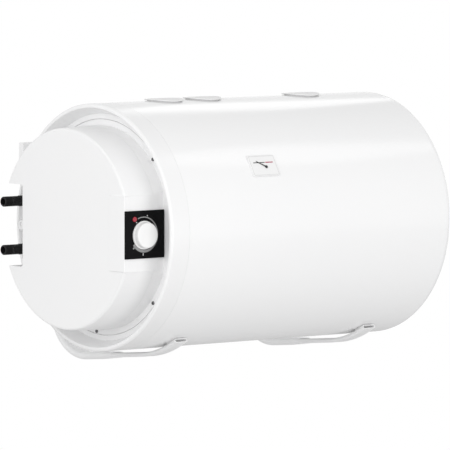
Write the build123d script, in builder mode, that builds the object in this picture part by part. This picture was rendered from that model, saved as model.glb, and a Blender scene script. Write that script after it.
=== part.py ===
"""Wall-hung horizontal tank water heater, piece by piece.

Millimetres. +Z is up, the front looks towards -Y and the tank's axis runs along X.
The origin is on the wall plane, at the centre of the four wall bolts and at the height of the axis.
"""
import os
from math import asin, cos, degrees, radians, sin, sqrt, tan

from build123d import *

os.makedirs("parts", exist_ok=True)

# Tank and wall
TANK_R = 255.0
TANK_LENGTH = 765.0
WALL_GAP = 37.0
BRACKET_SPACING = 514.0
LEFT_BRACKET_FROM_LIP = 134.5
SEAT_GAP = 0.2

# Jacket and far end
JACKET_T = 1.0
END_CAP_T = 1.5
END_CAP_CORNER_R = 17.0
END_CAP_SPIGOT = 14.0
END_DISH_R = 170.0
END_DISH_DEPTH = 4.0
END_DISH_SLOPE = 12.0

# End ring
RING_DEPTH = 47.5
RING_WALL = 3.0
RING_LIP_W = 8.6
RING_LIP_OUTER_R = 5.0
RING_LIP_INNER_R = 1.5
RING_EDGE_R = 0.8
RING_TAPER = 21.6
RING_LEDGE_DEPTH = 28.5
RING_LEDGE_W = 10.4
RING_SHELF = 10.0
RING_SPIGOT = 12.0

# Cover base plate inside the ring
BASE_T = 3.0
BASE_PROUD = 0.5
BASE_GAP = 1.2
BASE_SHELF = 71.6
COLLAR_WALL = 3.0
COLLAR_TOP = 0.4

# Service cover
COVER_WALL = 2.8
COVER_HEIGHT = 72.7
COVER_DRAFT = 2.6
COVER_GAP = 13.4
COVER_EDGE_FILLET = 5.0
POST_R = 7.0
POST_INSET = 57.6
HOUSING_SETBACK = 14.1
HOUSING_DEPTH = 50.5
HOUSING_HALF_H = 77.0
HOUSING_PROUD = 3.3
HOUSING_OVERHANG = 13.5
HOUSING_EDGE_FILLET = 1.5
NOTCH_DEPTH = 69.6
NOTCH_HALF_H = 85.0
NOTCH_CORNER_R = 5.0
NOTCH_EDGE_FILLET = 4.0

# Cover screws
SCREW_EDGE = 6.0
SCREW_ANGLES = (42.5, 137.5, 222.5, 264.0, 317.5)
POST_ANGLES = (45.0, 135.0, 225.0, 315.0)
SCREW_HEAD_R = 3.6
SCREW_HEAD_H = 2.4
SCREW_SHANK_R = 1.9
SCREW_LENGTH = 12.0
SCREW_DRIVE_W = 1.0
SCREW_DRIVE_L = 4.6
SCREW_DRIVE_DEPTH = 1.3

# Control panel, knob and lamp
PANEL_W = 102.5
PANEL_H = 97.5
PANEL_T = 2.6
PANEL_CENTRE_Z = -2.0
PANEL_INSET = 0.5
PANEL_CORNER_R = 1.5
PANEL_EDGE = 0.6
KNOB_FROM_LIP = -27.5
KNOB_Z = -3.0
KNOB_BASE_R = 29.0
KNOB_SKIRT_H = 2.6
KNOB_BODY_R = 27.2
KNOB_TOP_R = 25.8
KNOB_H = 14.0
KNOB_EDGE_FILLET = 3.0
KNOB_GAP = 0.6
KNOB_HOLLOW_R = 21.0
KNOB_HOLLOW_H = 8.0
KNOB_HUB_R = 6.5
SPINDLE_R = 3.0
SPINDLE_CLEARANCE = 0.06
SPINDLE_HOLE_GAP = 0.6
SPINDLE_IN_KNOB = 9.0
SPINDLE_IN_BODY = 14.0
LAMP_FROM_LIP = -51.2
LAMP_Z = 29.8
LENS_R = 5.2
LENS_H = 2.2
LENS_STEM_R = 3.6
LAMP_BODY_R = 4.4
LAMP_BODY_L = 22.0

# Parts behind the cover
THERMOSTAT_W = 40.0
THERMOSTAT_H = 42.0
THERMOSTAT_D = 34.0
CUTOUT_W = 34.0
CUTOUT_H = 44.0
CUTOUT_D = 26.0
BUTTON_R = 3.5
BUTTON_L = 10.0
BUTTON_PROUD = 4.5
BUTTON_TRAVEL = 2.0
BUTTON_CLEARANCE = 0.3
TERMINAL_L = 56.0
TERMINAL_W = 22.0
TERMINAL_H = 18.0
TERMINAL_POLES = 4
TERMINAL_SCREW_R = 2.6
TERMINAL_SCREW_DEPTH = 5.0
DEVICE_STRAP_T = 2.0

# Vessel, flange and what hangs in the water
FOAM_T = 48.0
VESSEL_T = 2.5
VESSEL_START = 82.0
VESSEL_LENGTH = 640.0
DOME_DEPTH = 90.0
NECK_R = 62.0
NECK_WALL = 5.0
NECK_FACE = 54.0
NECK_FLANGE_R = 88.0
NECK_FLANGE_T = 8.0
FLANGE_BOLT_EDGE = 13.0
FLANGE_BOLT_COUNT = 6
FLANGE_BOLT_R = 4.0
FLANGE_BOLT_AF = 13.0
FLANGE_BOLT_HEAD_H = 5.5
FLANGE_BOLT_OUT = 4.0
BOLT_CLEARANCE = 0.5
GASKET_T = 2.5
FLANGE_PLATE_T = 6.0
ELEMENT_TUBE_R = 4.25
ELEMENT_HALF_W = 17.0
ELEMENT_ROW_GAP = 26.0
ELEMENT_Z = -26.0
ELEMENT_END = 520.0
ELEMENT_PIN_OUT = 12.0
POCKET_R = 6.0
POCKET_BORE_R = 4.8
POCKET_Y = -10.0
POCKET_Z = 14.0
POCKET_END = 390.0
POCKET_OUT = 8.0
ANODE_R = 11.0
ANODE_Y = 14.0
ANODE_Z = 36.0
ANODE_END = 430.0
ANODE_STUD_R = 4.0
ANODE_STUD_OUT = 14.0
BRAZE_GAP = 0.1

# Water connections
PIPE_SPACING = 100.0
PIPE_MIDDLE_Z = -1.6
PIPE_EDGE = 45.0
NIPPLE_R = 10.45
NIPPLE_BORE_R = 7.2
NIPPLE_TIP = -94.0
NIPPLE_COLLAR_R = 11.2
NIPPLE_COLLAR_TOP = -53.0
NIPPLE_TIP_CHAMFER = 1.2
PIPE_R = 10.65
PIPE_WALL = 1.8
PIPE_BEND_R = 32.0
PIPE_TURN_AT = 190.0
PIPE_RISE = 150.0
PIPE_AIM_Y = 60.0
PIPE_END_GAP = 22.0
PIPE_HOLE_GAP = 0.8

# Cable entry in the floor of the ring, between and behind the water connections
GROMMET_R = 12.6
GROMMET_EDGE = 2.8
GROMMET_Z = -5.0
GROMMET_TIP = -15.0
GROMMET_FILLET = 1.2
GROMMET_GROOVE_R = 11.2
GROMMET_GROOVE_W = 0.9
GROMMET_GROOVE_DEPTH = 4.0
GROMMET_DIMPLE_R = 5.5
GROMMET_DIMPLE_DEPTH = 3.0
GROMMET_SPIGOT_R = 9.0

# Top ports
PORT_FROM_LIP = (189.0, 292.0, 562.0)
PORT_NAMES = ("left", "middle", "right")
PORT_CAP_R = 40.0
PORT_CAP_PROUD = 5.0
PORT_CAP_FILLET = 1.8
PORT_CAP_SKIRT = 8.0
PORT_HOLE_R = 29.0
PORT_SPIGOT_R = 28.6
PORT_SPIGOT_WALL = 2.0
PORT_SPIGOT_L = 9.0
SOCKET_R = 20.0
SOCKET_BORE_R = 15.0
SOCKET_SINK = 19.0
PLUG_DEPTH = 16.0
PLUG_HEX_AF = 32.0
PLUG_HEX_H = 7.0

# Thermometer
DIAL_FROM_LIP = 270.0
DIAL_ANGLE = 29.7
DIAL_W = 70.0
DIAL_H = 46.5
DIAL_PROUD = 3.0
DIAL_SKIRT = 3.0
DIAL_CORNER_R = 2.0
DIAL_EDGE = 0.8
PIVOT_U = 5.1
PIVOT_V = -3.5
PIVOT_R = 1.2
PIVOT_HEAD_R = 2.2
PIVOT_HEAD_T = 0.8
PIVOT_SINK = 1.6
NEEDLE_L = 26.5
NEEDLE_TIP_U = -22.8
NEEDLE_TIP_V = 13.65
NEEDLE_T = 0.8
NEEDLE_LIFT = 0.4
NEEDLE_ROOT_W = 2.6
NEEDLE_TIP_W = 1.0
NEEDLE_HUB_R = 3.2
NEEDLE_CLEARANCE = 0.08
STEM_R = 4.0
STEM_HOLE_GAP = 0.5

# Wall brackets
LEG_W = 37.0
LEG_T = 15.0
LEG_CORNER_R = 109.0
LEG_MOUTH_Y = 85.0
LEG_SWAGE_STEP = 1.3
LEG_SWAGE_L = 30.0
ARM_W = 33.4
ARM_T = 9.0
ARM_WALL = 1.8
ARM_CLEARANCE = 0.2
ARM_INSERT = 26.0
ARM_ARC_EXTRA = 6.2
ARM_ARC_Y = 14.0
ARM_ARC_Z = -7.7
ARM_TIP_ANGLE = 31.1
ARM_SLOPE = 4.7
PAD_W = 28.0
PAD_START_ANGLE = 21.0
PAD_END_ANGLE = 26.8
RAIL_LENGTH = 703.0
RAIL_H = 50.0
RAIL_WALL = 2.0
RAIL_TOP = 161.0
RAIL_CORNER_R = 3.0
RAIL_PLUG_T = 2.0
RAIL_PLUG_L = 14.0
WALL_BOLT_R = 5.5
SPACER_R = 17.0
BRACKET_BOLT_R = 5.0
BRACKET_BOLT_AF = 16.0
BRACKET_BOLT_HEAD_H = 6.4
BRACKET_BOLT_HOLE_R = 5.4
HEAD_ACCESS_R = 11.0
BOSS_R = 14.0
BOSS_H = 18.0
BOSS_DEPTH = 14.0

# Values that follow from the sizes above
AXIS_Y = -(TANK_R + WALL_GAP)
LIP_X = -(LEFT_BRACKET_FROM_LIP + BRACKET_SPACING / 2)
JACKET_END = TANK_LENGTH - END_CAP_CORNER_R
JACKET_BORE_R = TANK_R - JACKET_T
SPIGOT_R = JACKET_BORE_R - SEAT_GAP
RING_FOOT_R = TANK_R - RING_TAPER
RING_SEAT_R = RING_FOOT_R - RING_LEDGE_W
SCREW_CIRCLE_R = RING_SEAT_R - SCREW_EDGE
PIPE_BACK = RING_SEAT_R - PIPE_EDGE
PIPE_Z = (PIPE_MIDDLE_Z + PIPE_SPACING / 2, PIPE_MIDDLE_Z - PIPE_SPACING / 2)
GROMMET_BACK = RING_FOOT_R - GROMMET_EDGE - GROMMET_R
COVER_RIM_R = RING_SEAT_R - COVER_GAP
COVER_FACE_R = COVER_RIM_R - COVER_DRAFT
HOUSING_FRONT = COVER_RIM_R - HOUSING_SETBACK
HOUSING_BACK = HOUSING_FRONT - HOUSING_DEPTH
NOTCH_FLOOR = COVER_RIM_R - NOTCH_DEPTH
POST_CIRCLE_R = COVER_RIM_R - POST_INSET
BASE_OPENING_R = COVER_RIM_R - BASE_SHELF
RING_OPENING_R = BASE_OPENING_R - RING_SHELF
RING_SEAT_DEPTH = RING_LEDGE_DEPTH + BASE_T + BASE_PROUD
RING_BACK = RING_SEAT_DEPTH + RING_WALL
BASE_TOP = RING_SEAT_DEPTH - BASE_T
HOUSING_FACE = -(COVER_HEIGHT + HOUSING_PROUD)
PANEL_LEFT = HOUSING_FACE + PANEL_INSET
PANEL_CENTRE = PANEL_LEFT + PANEL_W / 2
PANEL_FRONT = HOUSING_FRONT + PANEL_T
VESSEL_R = TANK_R - FOAM_T
VESSEL_END = VESSEL_START + VESSEL_LENGTH
SOCKET_TOP = TANK_R - SOCKET_SINK
PIPE_AIM_Z = VESSEL_R - PIPE_END_GAP
ARM_ARC_R = TANK_R + ARM_ARC_EXTRA
DOME_R = (VESSEL_R**2 + DOME_DEPTH**2) / (2 * DOME_DEPTH)
FLANGE_BOLT_CIRCLE_R = NECK_FLANGE_R - FLANGE_BOLT_EDGE
GASKET_FACE = NECK_FACE - GASKET_T
PLATE_FACE = GASKET_FACE - FLANGE_PLATE_T
BRACKET_X = (-BRACKET_SPACING / 2, BRACKET_SPACING / 2)
SIDES = ("left", "right")
LEG_CENTRE_Y = TANK_R + WALL_GAP - LEG_T / 2
LEG_BEND_R = LEG_CORNER_R - LEG_T / 2
RAIL_BOTTOM = RAIL_TOP - RAIL_H
WALL_BOLT_Z = RAIL_TOP - RAIL_H / 2
OVERCUT = 20.0

TANK_AXIS = Axis((0, AXIS_Y, 0), (1, 0, 0))
PROFILE = Plane(origin=(0, AXIS_Y, 0), x_dir=(1, 0, 0), z_dir=(0, -1, 0))


def end_plane(from_lip):
    """Plane square to the tank's axis: local x runs to the rear, local y up, normal towards +X."""
    return Plane(origin=(LIP_X + from_lip, AXIS_Y, 0), x_dir=(0, 1, 0), z_dir=(1, 0, 0))


def section(points):
    """Points given as (distance from the lip, radius) moved onto the revolve plane."""
    return [(LIP_X + along, radius) for along, radius in points]


def front_plane(from_lip, forward, height):
    """Upright plane facing the front, at a distance forward of the tank's axis."""
    return Plane(origin=(LIP_X + from_lip, AXIS_Y - forward, height), x_dir=(1, 0, 0), z_dir=(0, -1, 0))


def top_plane(from_lip, height):
    """Level plane above the tank's axis."""
    return Plane(origin=(LIP_X + from_lip, AXIS_Y, height))


def dial_plane(radius):
    """Plane that touches a cylinder of this radius at the thermometer's place."""
    lean = radians(DIAL_ANGLE)
    normal = (0, -cos(lean), sin(lean))
    origin = (LIP_X + DIAL_FROM_LIP, AXIS_Y + radius * normal[1], radius * normal[2])
    return Plane(origin=origin, x_dir=(1, 0, 0), z_dir=normal)


def dome_depth_at(radius):
    """Distance from the lip to the vessel's left dome at this radius."""
    return VESSEL_START + DOME_R - sqrt(DOME_R**2 - radius**2)


def dome_line(inset):
    """Outline of the vessel from the centre of one dome to the other, moved inwards by inset."""
    radius = VESSEL_R - inset
    sphere = DOME_R - inset
    lean = degrees(asin(radius / sphere))
    left = CenterArc((LIP_X + VESSEL_START + DOME_R, 0), sphere, 180 - lean, lean)
    right = CenterArc((LIP_X + VESSEL_END - DOME_R, 0), sphere, 0, lean)
    Line(left @ 0, right @ 1)


def circle_points(radius, angles):
    """Places on a circle about the tank's axis; angles run from the front over the top."""
    return [(-radius * cos(radians(angle)), radius * sin(radians(angle))) for angle in angles]


def finish(builder, name):
    """Label a finished piece and write its file."""
    builder.part.label = name
    export_step(builder.part, f"parts/{name}.step")


# Jacket: rolled sheet with openings for the ports, the thermometer stem and the bracket bolts
with BuildPart() as jacket:
    with BuildSketch(end_plane(RING_DEPTH)):
        Circle(TANK_R)
        Circle(JACKET_BORE_R, mode=Mode.SUBTRACT)
    extrude(amount=JACKET_END - RING_DEPTH)
    for port_at in PORT_FROM_LIP:
        with BuildSketch(top_plane(port_at, VESSEL_R)):
            Circle(PORT_HOLE_R)
        extrude(amount=TANK_R, mode=Mode.SUBTRACT)
    with BuildSketch(dial_plane(VESSEL_R)):
        Circle(STEM_R + STEM_HOLE_GAP)
    extrude(amount=TANK_R, mode=Mode.SUBTRACT)
    with BuildSketch(Plane.XZ.offset(-AXIS_Y - VESSEL_R)):
        with Locations(*[(x, 0) for x in BRACKET_X]):
            Circle(BRACKET_BOLT_HOLE_R)
    extrude(amount=-TANK_R, mode=Mode.SUBTRACT)
finish(jacket, "jacket")

# Far end cap: pressed disc with a rolled corner, a shallow dish and a spigot inside the jacket
with BuildPart() as right_end_cap:
    corner_start = JACKET_END
    corner_inner = END_CAP_CORNER_R - END_CAP_T
    flat_inner = TANK_LENGTH - END_CAP_T
    dish_outer_r = END_DISH_R + END_DISH_SLOPE
    with BuildSketch(PROFILE):
        with BuildLine():
            outer_arc = CenterArc((LIP_X + corner_start, TANK_R - END_CAP_CORNER_R), END_CAP_CORNER_R, 0, 90)
            inner_arc = CenterArc((LIP_X + corner_start, TANK_R - END_CAP_CORNER_R), corner_inner, 0, 90)
            Polyline(
                outer_arc @ 0,
                *section(
                    [
                        (TANK_LENGTH, dish_outer_r),
                        (TANK_LENGTH - END_DISH_DEPTH, END_DISH_R),
                        (TANK_LENGTH - END_DISH_DEPTH, 0),
                        (flat_inner - END_DISH_DEPTH, 0),
                        (flat_inner - END_DISH_DEPTH, END_DISH_R),
                        (flat_inner, dish_outer_r),
                    ]
                ),
                inner_arc @ 0,
            )
            Polyline(
                outer_arc @ 1,
                *section(
                    [
                        (JACKET_END, SPIGOT_R),
                        (JACKET_END - END_CAP_SPIGOT, SPIGOT_R),
                        (JACKET_END - END_CAP_SPIGOT, TANK_R - END_CAP_T - END_CAP_T),
                        (JACKET_END, TANK_R - END_CAP_T - END_CAP_T),
                    ]
                ),
                inner_arc @ 1,
            )
        make_face()
    revolve(axis=TANK_AXIS)
finish(right_end_cap, "right_end_cap")

# End ring: rolled lip, tapered inner wall, ledge and the seat that carries the cover base
with BuildPart() as end_ring:
    lip_inner_r = TANK_R - RING_LIP_W
    with BuildSketch(PROFILE):
        with BuildLine():
            Polyline(
                *section(
                    [
                        (0, lip_inner_r),
                        (0, TANK_R),
                        (RING_DEPTH, TANK_R),
                        (RING_DEPTH, SPIGOT_R),
                        (RING_DEPTH + RING_SPIGOT, SPIGOT_R),
                        (RING_DEPTH + RING_SPIGOT, TANK_R - RING_WALL - JACKET_T),
                        (RING_WALL, TANK_R - RING_WALL - JACKET_T),
                        (RING_LEDGE_DEPTH + RING_WALL, RING_FOOT_R + RING_WALL),
                        (RING_BACK, RING_FOOT_R),
                        (RING_BACK, RING_OPENING_R),
                        (RING_SEAT_DEPTH, RING_OPENING_R),
                        (RING_SEAT_DEPTH, RING_SEAT_R),
                        (RING_LEDGE_DEPTH, RING_SEAT_R),
                        (RING_LEDGE_DEPTH, RING_FOOT_R),
                    ]
                ),
                close=True,
            )
        make_face()
    revolve(axis=TANK_AXIS)
    lip_edges = end_ring.edges().filter_by(GeomType.CIRCLE).group_by(Axis.X)[0].sort_by(SortBy.RADIUS)
    rear_edges = end_ring.edges().filter_by(GeomType.CIRCLE).filter_by_position(
        Axis.X, LIP_X + RING_DEPTH - SEAT_GAP, LIP_X + RING_DEPTH + SEAT_GAP
    )
    fillet(lip_edges[-1], RING_LIP_OUTER_R)
    fillet(lip_edges[0], RING_LIP_INNER_R)
    fillet(rear_edges.sort_by(SortBy.RADIUS)[-1], RING_EDGE_R)
    with BuildSketch(end_plane(RING_SEAT_DEPTH)):
        with Locations(*[(PIPE_BACK, height) for height in PIPE_Z]):
            Circle(NIPPLE_COLLAR_R + PIPE_HOLE_GAP)
        with Locations(*circle_points(SCREW_CIRCLE_R, SCREW_ANGLES)):
            Circle(SCREW_SHANK_R)
        with Locations((GROMMET_BACK, GROMMET_Z)):
            Circle(GROMMET_SPIGOT_R + SEAT_GAP)
    extrude(amount=OVERCUT, both=True, mode=Mode.SUBTRACT)
finish(end_ring, "end_ring")

# Cable grommet: closed sleeve that stands on the ring's ledge
with BuildPart() as cable_grommet:
    with BuildSketch(end_plane(GROMMET_TIP)):
        with Locations((GROMMET_BACK, GROMMET_Z)):
            Circle(GROMMET_R)
    extrude(amount=RING_LEDGE_DEPTH - GROMMET_TIP)
    fillet(cable_grommet.edges().group_by(Axis.X)[0], GROMMET_FILLET)
    with BuildSketch(end_plane(RING_LEDGE_DEPTH)):
        with Locations((GROMMET_BACK, GROMMET_Z)):
            Circle(GROMMET_SPIGOT_R)
    extrude(amount=RING_BACK - RING_LEDGE_DEPTH)
    with BuildSketch(end_plane(GROMMET_TIP)):
        with Locations((GROMMET_BACK, GROMMET_Z)):
            Circle(GROMMET_GROOVE_R)
            Circle(GROMMET_GROOVE_R - GROMMET_GROOVE_W, mode=Mode.SUBTRACT)
    extrude(amount=GROMMET_GROOVE_DEPTH, mode=Mode.SUBTRACT)
    with BuildSketch(end_plane(GROMMET_TIP)):
        with Locations((GROMMET_BACK, GROMMET_Z)):
            Circle(GROMMET_DIMPLE_R)
    extrude(amount=GROMMET_DIMPLE_DEPTH, mode=Mode.SUBTRACT)
finish(cable_grommet, "cable_grommet")

# Outline that the cover and the collar below it share: a circle with the pipe notch
with BuildSketch() as cover_outline:
    Circle(COVER_RIM_R)
    with Locations((NOTCH_FLOOR, 0)):
        Rectangle(TANK_R, 2 * NOTCH_HALF_H, align=(Align.MIN, Align.CENTER), mode=Mode.SUBTRACT)
    fillet(cover_outline.vertices().group_by(Axis.X)[-1], NOTCH_EDGE_FILLET)
    fillet(cover_outline.vertices().group_by(Axis.X)[0], NOTCH_CORNER_R)

# Outline of the collar: flat in front, behind the control housing
with BuildSketch() as collar_outline:
    add(cover_outline.sketch)
    with Locations((COVER_WALL + SEAT_GAP - HOUSING_FRONT, 0)):
        Rectangle(TANK_R, 2 * TANK_R, align=(Align.MAX, Align.CENTER), mode=Mode.SUBTRACT)

# Cover base: plate screwed into the ring, with a collar that closes the wiring space below the cover
with BuildPart() as cover_base:
    with BuildSketch(end_plane(BASE_TOP)):
        Circle(RING_SEAT_R - BASE_GAP)
        with Locations((NOTCH_FLOOR, 0)):
            Rectangle(TANK_R, 2 * NOTCH_HALF_H, align=(Align.MIN, Align.CENTER), mode=Mode.SUBTRACT)
        with Locations(*circle_points(SCREW_CIRCLE_R, SCREW_ANGLES)):
            Circle(SCREW_SHANK_R + SEAT_GAP, mode=Mode.SUBTRACT)
    extrude(amount=BASE_T)
    with BuildSketch(end_plane(COLLAR_TOP)):
        add(collar_outline.sketch)
    extrude(amount=BASE_TOP + BASE_T - COLLAR_TOP)
    with BuildSketch(end_plane(COLLAR_TOP)):
        add(collar_outline.sketch)
        offset(amount=-COLLAR_WALL, mode=Mode.REPLACE)
    extrude(amount=BASE_TOP - COLLAR_TOP, mode=Mode.SUBTRACT)
    with BuildSketch(end_plane(BASE_TOP)):
        Circle(BASE_OPENING_R)
    extrude(amount=BASE_T, mode=Mode.SUBTRACT)
finish(cover_base, "cover_base")

# Hollow of the service cover, kept clear of the pipe notch and of the flat front
with BuildPart() as cover_hollow:
    hollow_top = COVER_WALL - COVER_HEIGHT
    with BuildSketch(PROFILE):
        with BuildLine():
            Polyline(
                *section(
                    [
                        (hollow_top, 0),
                        (hollow_top, COVER_FACE_R - COVER_WALL),
                        (OVERCUT, COVER_RIM_R - COVER_WALL),
                        (OVERCUT, 0),
                    ]
                ),
                close=True,
            )
        make_face()
    revolve(axis=TANK_AXIS)
    with BuildSketch(end_plane(HOUSING_FACE + COVER_WALL)):
        with Locations((-HOUSING_BACK - COVER_WALL, 0)):
            Rectangle(
                HOUSING_FRONT - HOUSING_BACK - COVER_WALL,
                2 * (HOUSING_HALF_H - COVER_WALL),
                align=(Align.MAX, Align.CENTER),
            )
    extrude(amount=OVERCUT - HOUSING_FACE)
    with BuildSketch(end_plane(HOUSING_FACE)):
        with Locations((COVER_WALL - HOUSING_FRONT, 0)):
            Rectangle(TANK_R, 2 * TANK_R, align=(Align.MAX, Align.CENTER))
        with Locations((NOTCH_FLOOR - COVER_WALL, 0)):
            Rectangle(TANK_R, 2 * (NOTCH_HALF_H + COVER_WALL), align=(Align.MIN, Align.CENTER))
    extrude(amount=OVERCUT + COVER_HEIGHT + OVERCUT, mode=Mode.SUBTRACT)

# Service cover: drum with a flat control housing in front and a notch for the pipes behind
with BuildPart() as service_cover:
    with BuildSketch(PROFILE):
        with BuildLine():
            Polyline(
                *section([(-COVER_HEIGHT, 0), (-COVER_HEIGHT, COVER_FACE_R), (0, COVER_RIM_R), (0, 0)]),
                close=True,
            )
        make_face()
    revolve(axis=TANK_AXIS)
    fillet(service_cover.edges().filter_by(GeomType.CIRCLE).group_by(Axis.X)[0], COVER_EDGE_FILLET)
    with BuildSketch(end_plane(-COVER_HEIGHT)):
        add(cover_outline.sketch)
    extrude(amount=COVER_HEIGHT, mode=Mode.INTERSECT)
    with BuildSketch(end_plane(HOUSING_FACE)):
        with Locations((-HOUSING_BACK, 0)):
            Rectangle(HOUSING_FRONT - HOUSING_BACK, 2 * HOUSING_HALF_H, align=(Align.MAX, Align.CENTER))
    extrude(amount=-HOUSING_FACE)
    with BuildSketch(end_plane(HOUSING_FACE)):
        with Locations((-HOUSING_FRONT, 0)):
            Rectangle(TANK_R, 2 * TANK_R, align=(Align.MAX, Align.CENTER))
    extrude(amount=OVERCUT - HOUSING_FACE, mode=Mode.SUBTRACT)
    fillet(service_cover.faces().sort_by(Axis.X)[0].outer_wire().edges(), HOUSING_EDGE_FILLET)
    add(cover_hollow.part, mode=Mode.SUBTRACT)
    with BuildSketch(end_plane(0)):
        with Locations((COVER_WALL - HOUSING_FRONT, 0)):
            Rectangle(COVER_WALL, 2 * HOUSING_HALF_H, align=(Align.MAX, Align.CENTER))
    extrude(amount=HOUSING_OVERHANG)
    with BuildSketch(end_plane(COVER_WALL / 2 - COVER_HEIGHT)):
        with Locations(*circle_points(POST_CIRCLE_R, POST_ANGLES)):
            Circle(POST_R)
    extrude(amount=COVER_HEIGHT - COVER_WALL / 2 + BASE_TOP)
    with BuildSketch(front_plane(KNOB_FROM_LIP, HOUSING_BACK, KNOB_Z)):
        Circle(SPINDLE_R + SPINDLE_HOLE_GAP)
        with Locations((LAMP_FROM_LIP - KNOB_FROM_LIP, LAMP_Z - KNOB_Z)):
            Circle(LAMP_BODY_R + SEAT_GAP)
    extrude(amount=TANK_R, mode=Mode.SUBTRACT)
finish(service_cover, "service_cover")

# Cover screws: pan heads with a cross recess
with BuildPart() as cover_screws:
    with BuildSketch(end_plane(BASE_TOP - SCREW_HEAD_H)):
        with Locations(*circle_points(SCREW_CIRCLE_R, SCREW_ANGLES)):
            Circle(SCREW_HEAD_R)
    extrude(amount=SCREW_HEAD_H)
    fillet(cover_screws.edges().group_by(Axis.X)[0], SCREW_HEAD_H / 3)
    with BuildSketch(end_plane(BASE_TOP)):
        with Locations(*circle_points(SCREW_CIRCLE_R, SCREW_ANGLES)):
            Circle(SCREW_SHANK_R)
    extrude(amount=SCREW_LENGTH)
    with BuildSketch(end_plane(BASE_TOP - SCREW_HEAD_H)):
        with Locations(*circle_points(SCREW_CIRCLE_R, SCREW_ANGLES)):
            Rectangle(SCREW_DRIVE_L, SCREW_DRIVE_W)
            Rectangle(SCREW_DRIVE_W, SCREW_DRIVE_L)
    extrude(amount=SCREW_DRIVE_DEPTH, mode=Mode.SUBTRACT)
finish(cover_screws, "cover_screws")

# Control panel: thin black plate on the flat front of the cover
with BuildPart() as control_panel:
    with BuildSketch(front_plane(PANEL_CENTRE, HOUSING_FRONT, PANEL_CENTRE_Z)):
        RectangleRounded(PANEL_W, PANEL_H, PANEL_CORNER_R)
        with Locations((KNOB_FROM_LIP - PANEL_CENTRE, KNOB_Z - PANEL_CENTRE_Z)):
            Circle(SPINDLE_R + SPINDLE_HOLE_GAP, mode=Mode.SUBTRACT)
        with Locations((LAMP_FROM_LIP - PANEL_CENTRE, LAMP_Z - PANEL_CENTRE_Z)):
            Circle(LENS_STEM_R + SEAT_GAP, mode=Mode.SUBTRACT)
    extrude(amount=PANEL_T)
    front_edges = control_panel.faces().sort_by(Axis.Y)[0].outer_wire().edges()
    chamfer(front_edges, PANEL_EDGE)
finish(control_panel, "control_panel")

# Indicator lens: domed head on a stem pressed into the panel
with BuildPart() as indicator_lens:
    with BuildSketch(front_plane(LAMP_FROM_LIP, HOUSING_FRONT, LAMP_Z)):
        Circle(LENS_STEM_R)
    extrude(amount=PANEL_T)
    with BuildSketch(front_plane(LAMP_FROM_LIP, PANEL_FRONT, LAMP_Z)):
        Circle(LENS_R)
    extrude(amount=LENS_H)
    fillet(indicator_lens.edges().group_by(Axis.Y)[0], LENS_H * 0.7)
finish(indicator_lens, "indicator_lens")

# Indicator lamp behind the lens
with BuildPart() as indicator_lamp:
    with BuildSketch(front_plane(LAMP_FROM_LIP, HOUSING_FRONT - LAMP_BODY_L, LAMP_Z)):
        Circle(LAMP_BODY_R)
    extrude(amount=LAMP_BODY_L - SEAT_GAP)
finish(indicator_lamp, "indicator_lamp")

# Temperature knob: skirt, tapered ribbed body, hollow back with a hub for the spindle
with BuildPart() as temperature_knob:
    knob_back = PANEL_FRONT + KNOB_GAP
    with BuildSketch(front_plane(KNOB_FROM_LIP, knob_back, KNOB_Z)):
        Circle(KNOB_BASE_R)
    extrude(amount=KNOB_SKIRT_H)
    with BuildSketch(front_plane(KNOB_FROM_LIP, knob_back + KNOB_SKIRT_H, KNOB_Z)):
        Circle(KNOB_BODY_R)
    with BuildSketch(front_plane(KNOB_FROM_LIP, knob_back + KNOB_H, KNOB_Z)):
        Circle(KNOB_TOP_R)
    loft()
    fillet(temperature_knob.edges().group_by(Axis.Y)[0], KNOB_EDGE_FILLET)
    with BuildSketch(front_plane(KNOB_FROM_LIP, knob_back, KNOB_Z)):
        Circle(KNOB_HOLLOW_R)
        Circle(KNOB_HUB_R, mode=Mode.SUBTRACT)
    extrude(amount=KNOB_HOLLOW_H, mode=Mode.SUBTRACT)
    with BuildSketch(front_plane(KNOB_FROM_LIP, knob_back, KNOB_Z)):
        Circle(SPINDLE_R)
    extrude(amount=SPINDLE_IN_KNOB, mode=Mode.SUBTRACT)
finish(temperature_knob, "temperature_knob")

# Spindle between the knob and the thermostat
with BuildPart() as knob_spindle:
    spindle_back = HOUSING_FRONT - COVER_WALL - SPINDLE_IN_BODY
    with BuildSketch(front_plane(KNOB_FROM_LIP, spindle_back, KNOB_Z)):
        Circle(SPINDLE_R)
    extrude(amount=PANEL_FRONT + KNOB_GAP + SPINDLE_IN_KNOB - spindle_back)
finish(knob_spindle, "knob_spindle")

# Thermostat body on the back of the control housing
with BuildPart() as thermostat:
    thermostat_front = HOUSING_FRONT - COVER_WALL
    with BuildSketch(front_plane(KNOB_FROM_LIP, thermostat_front - THERMOSTAT_D, KNOB_Z)):
        RectangleRounded(THERMOSTAT_W, THERMOSTAT_H, LENS_STEM_R)
    extrude(amount=THERMOSTAT_D)
    with BuildSketch(front_plane(KNOB_FROM_LIP, thermostat_front, KNOB_Z)):
        Circle(SPINDLE_R + SPINDLE_CLEARANCE)
    extrude(amount=-(SPINDLE_IN_BODY + SPINDLE_HOLE_GAP), mode=Mode.SUBTRACT)
finish(thermostat, "thermostat")

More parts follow.
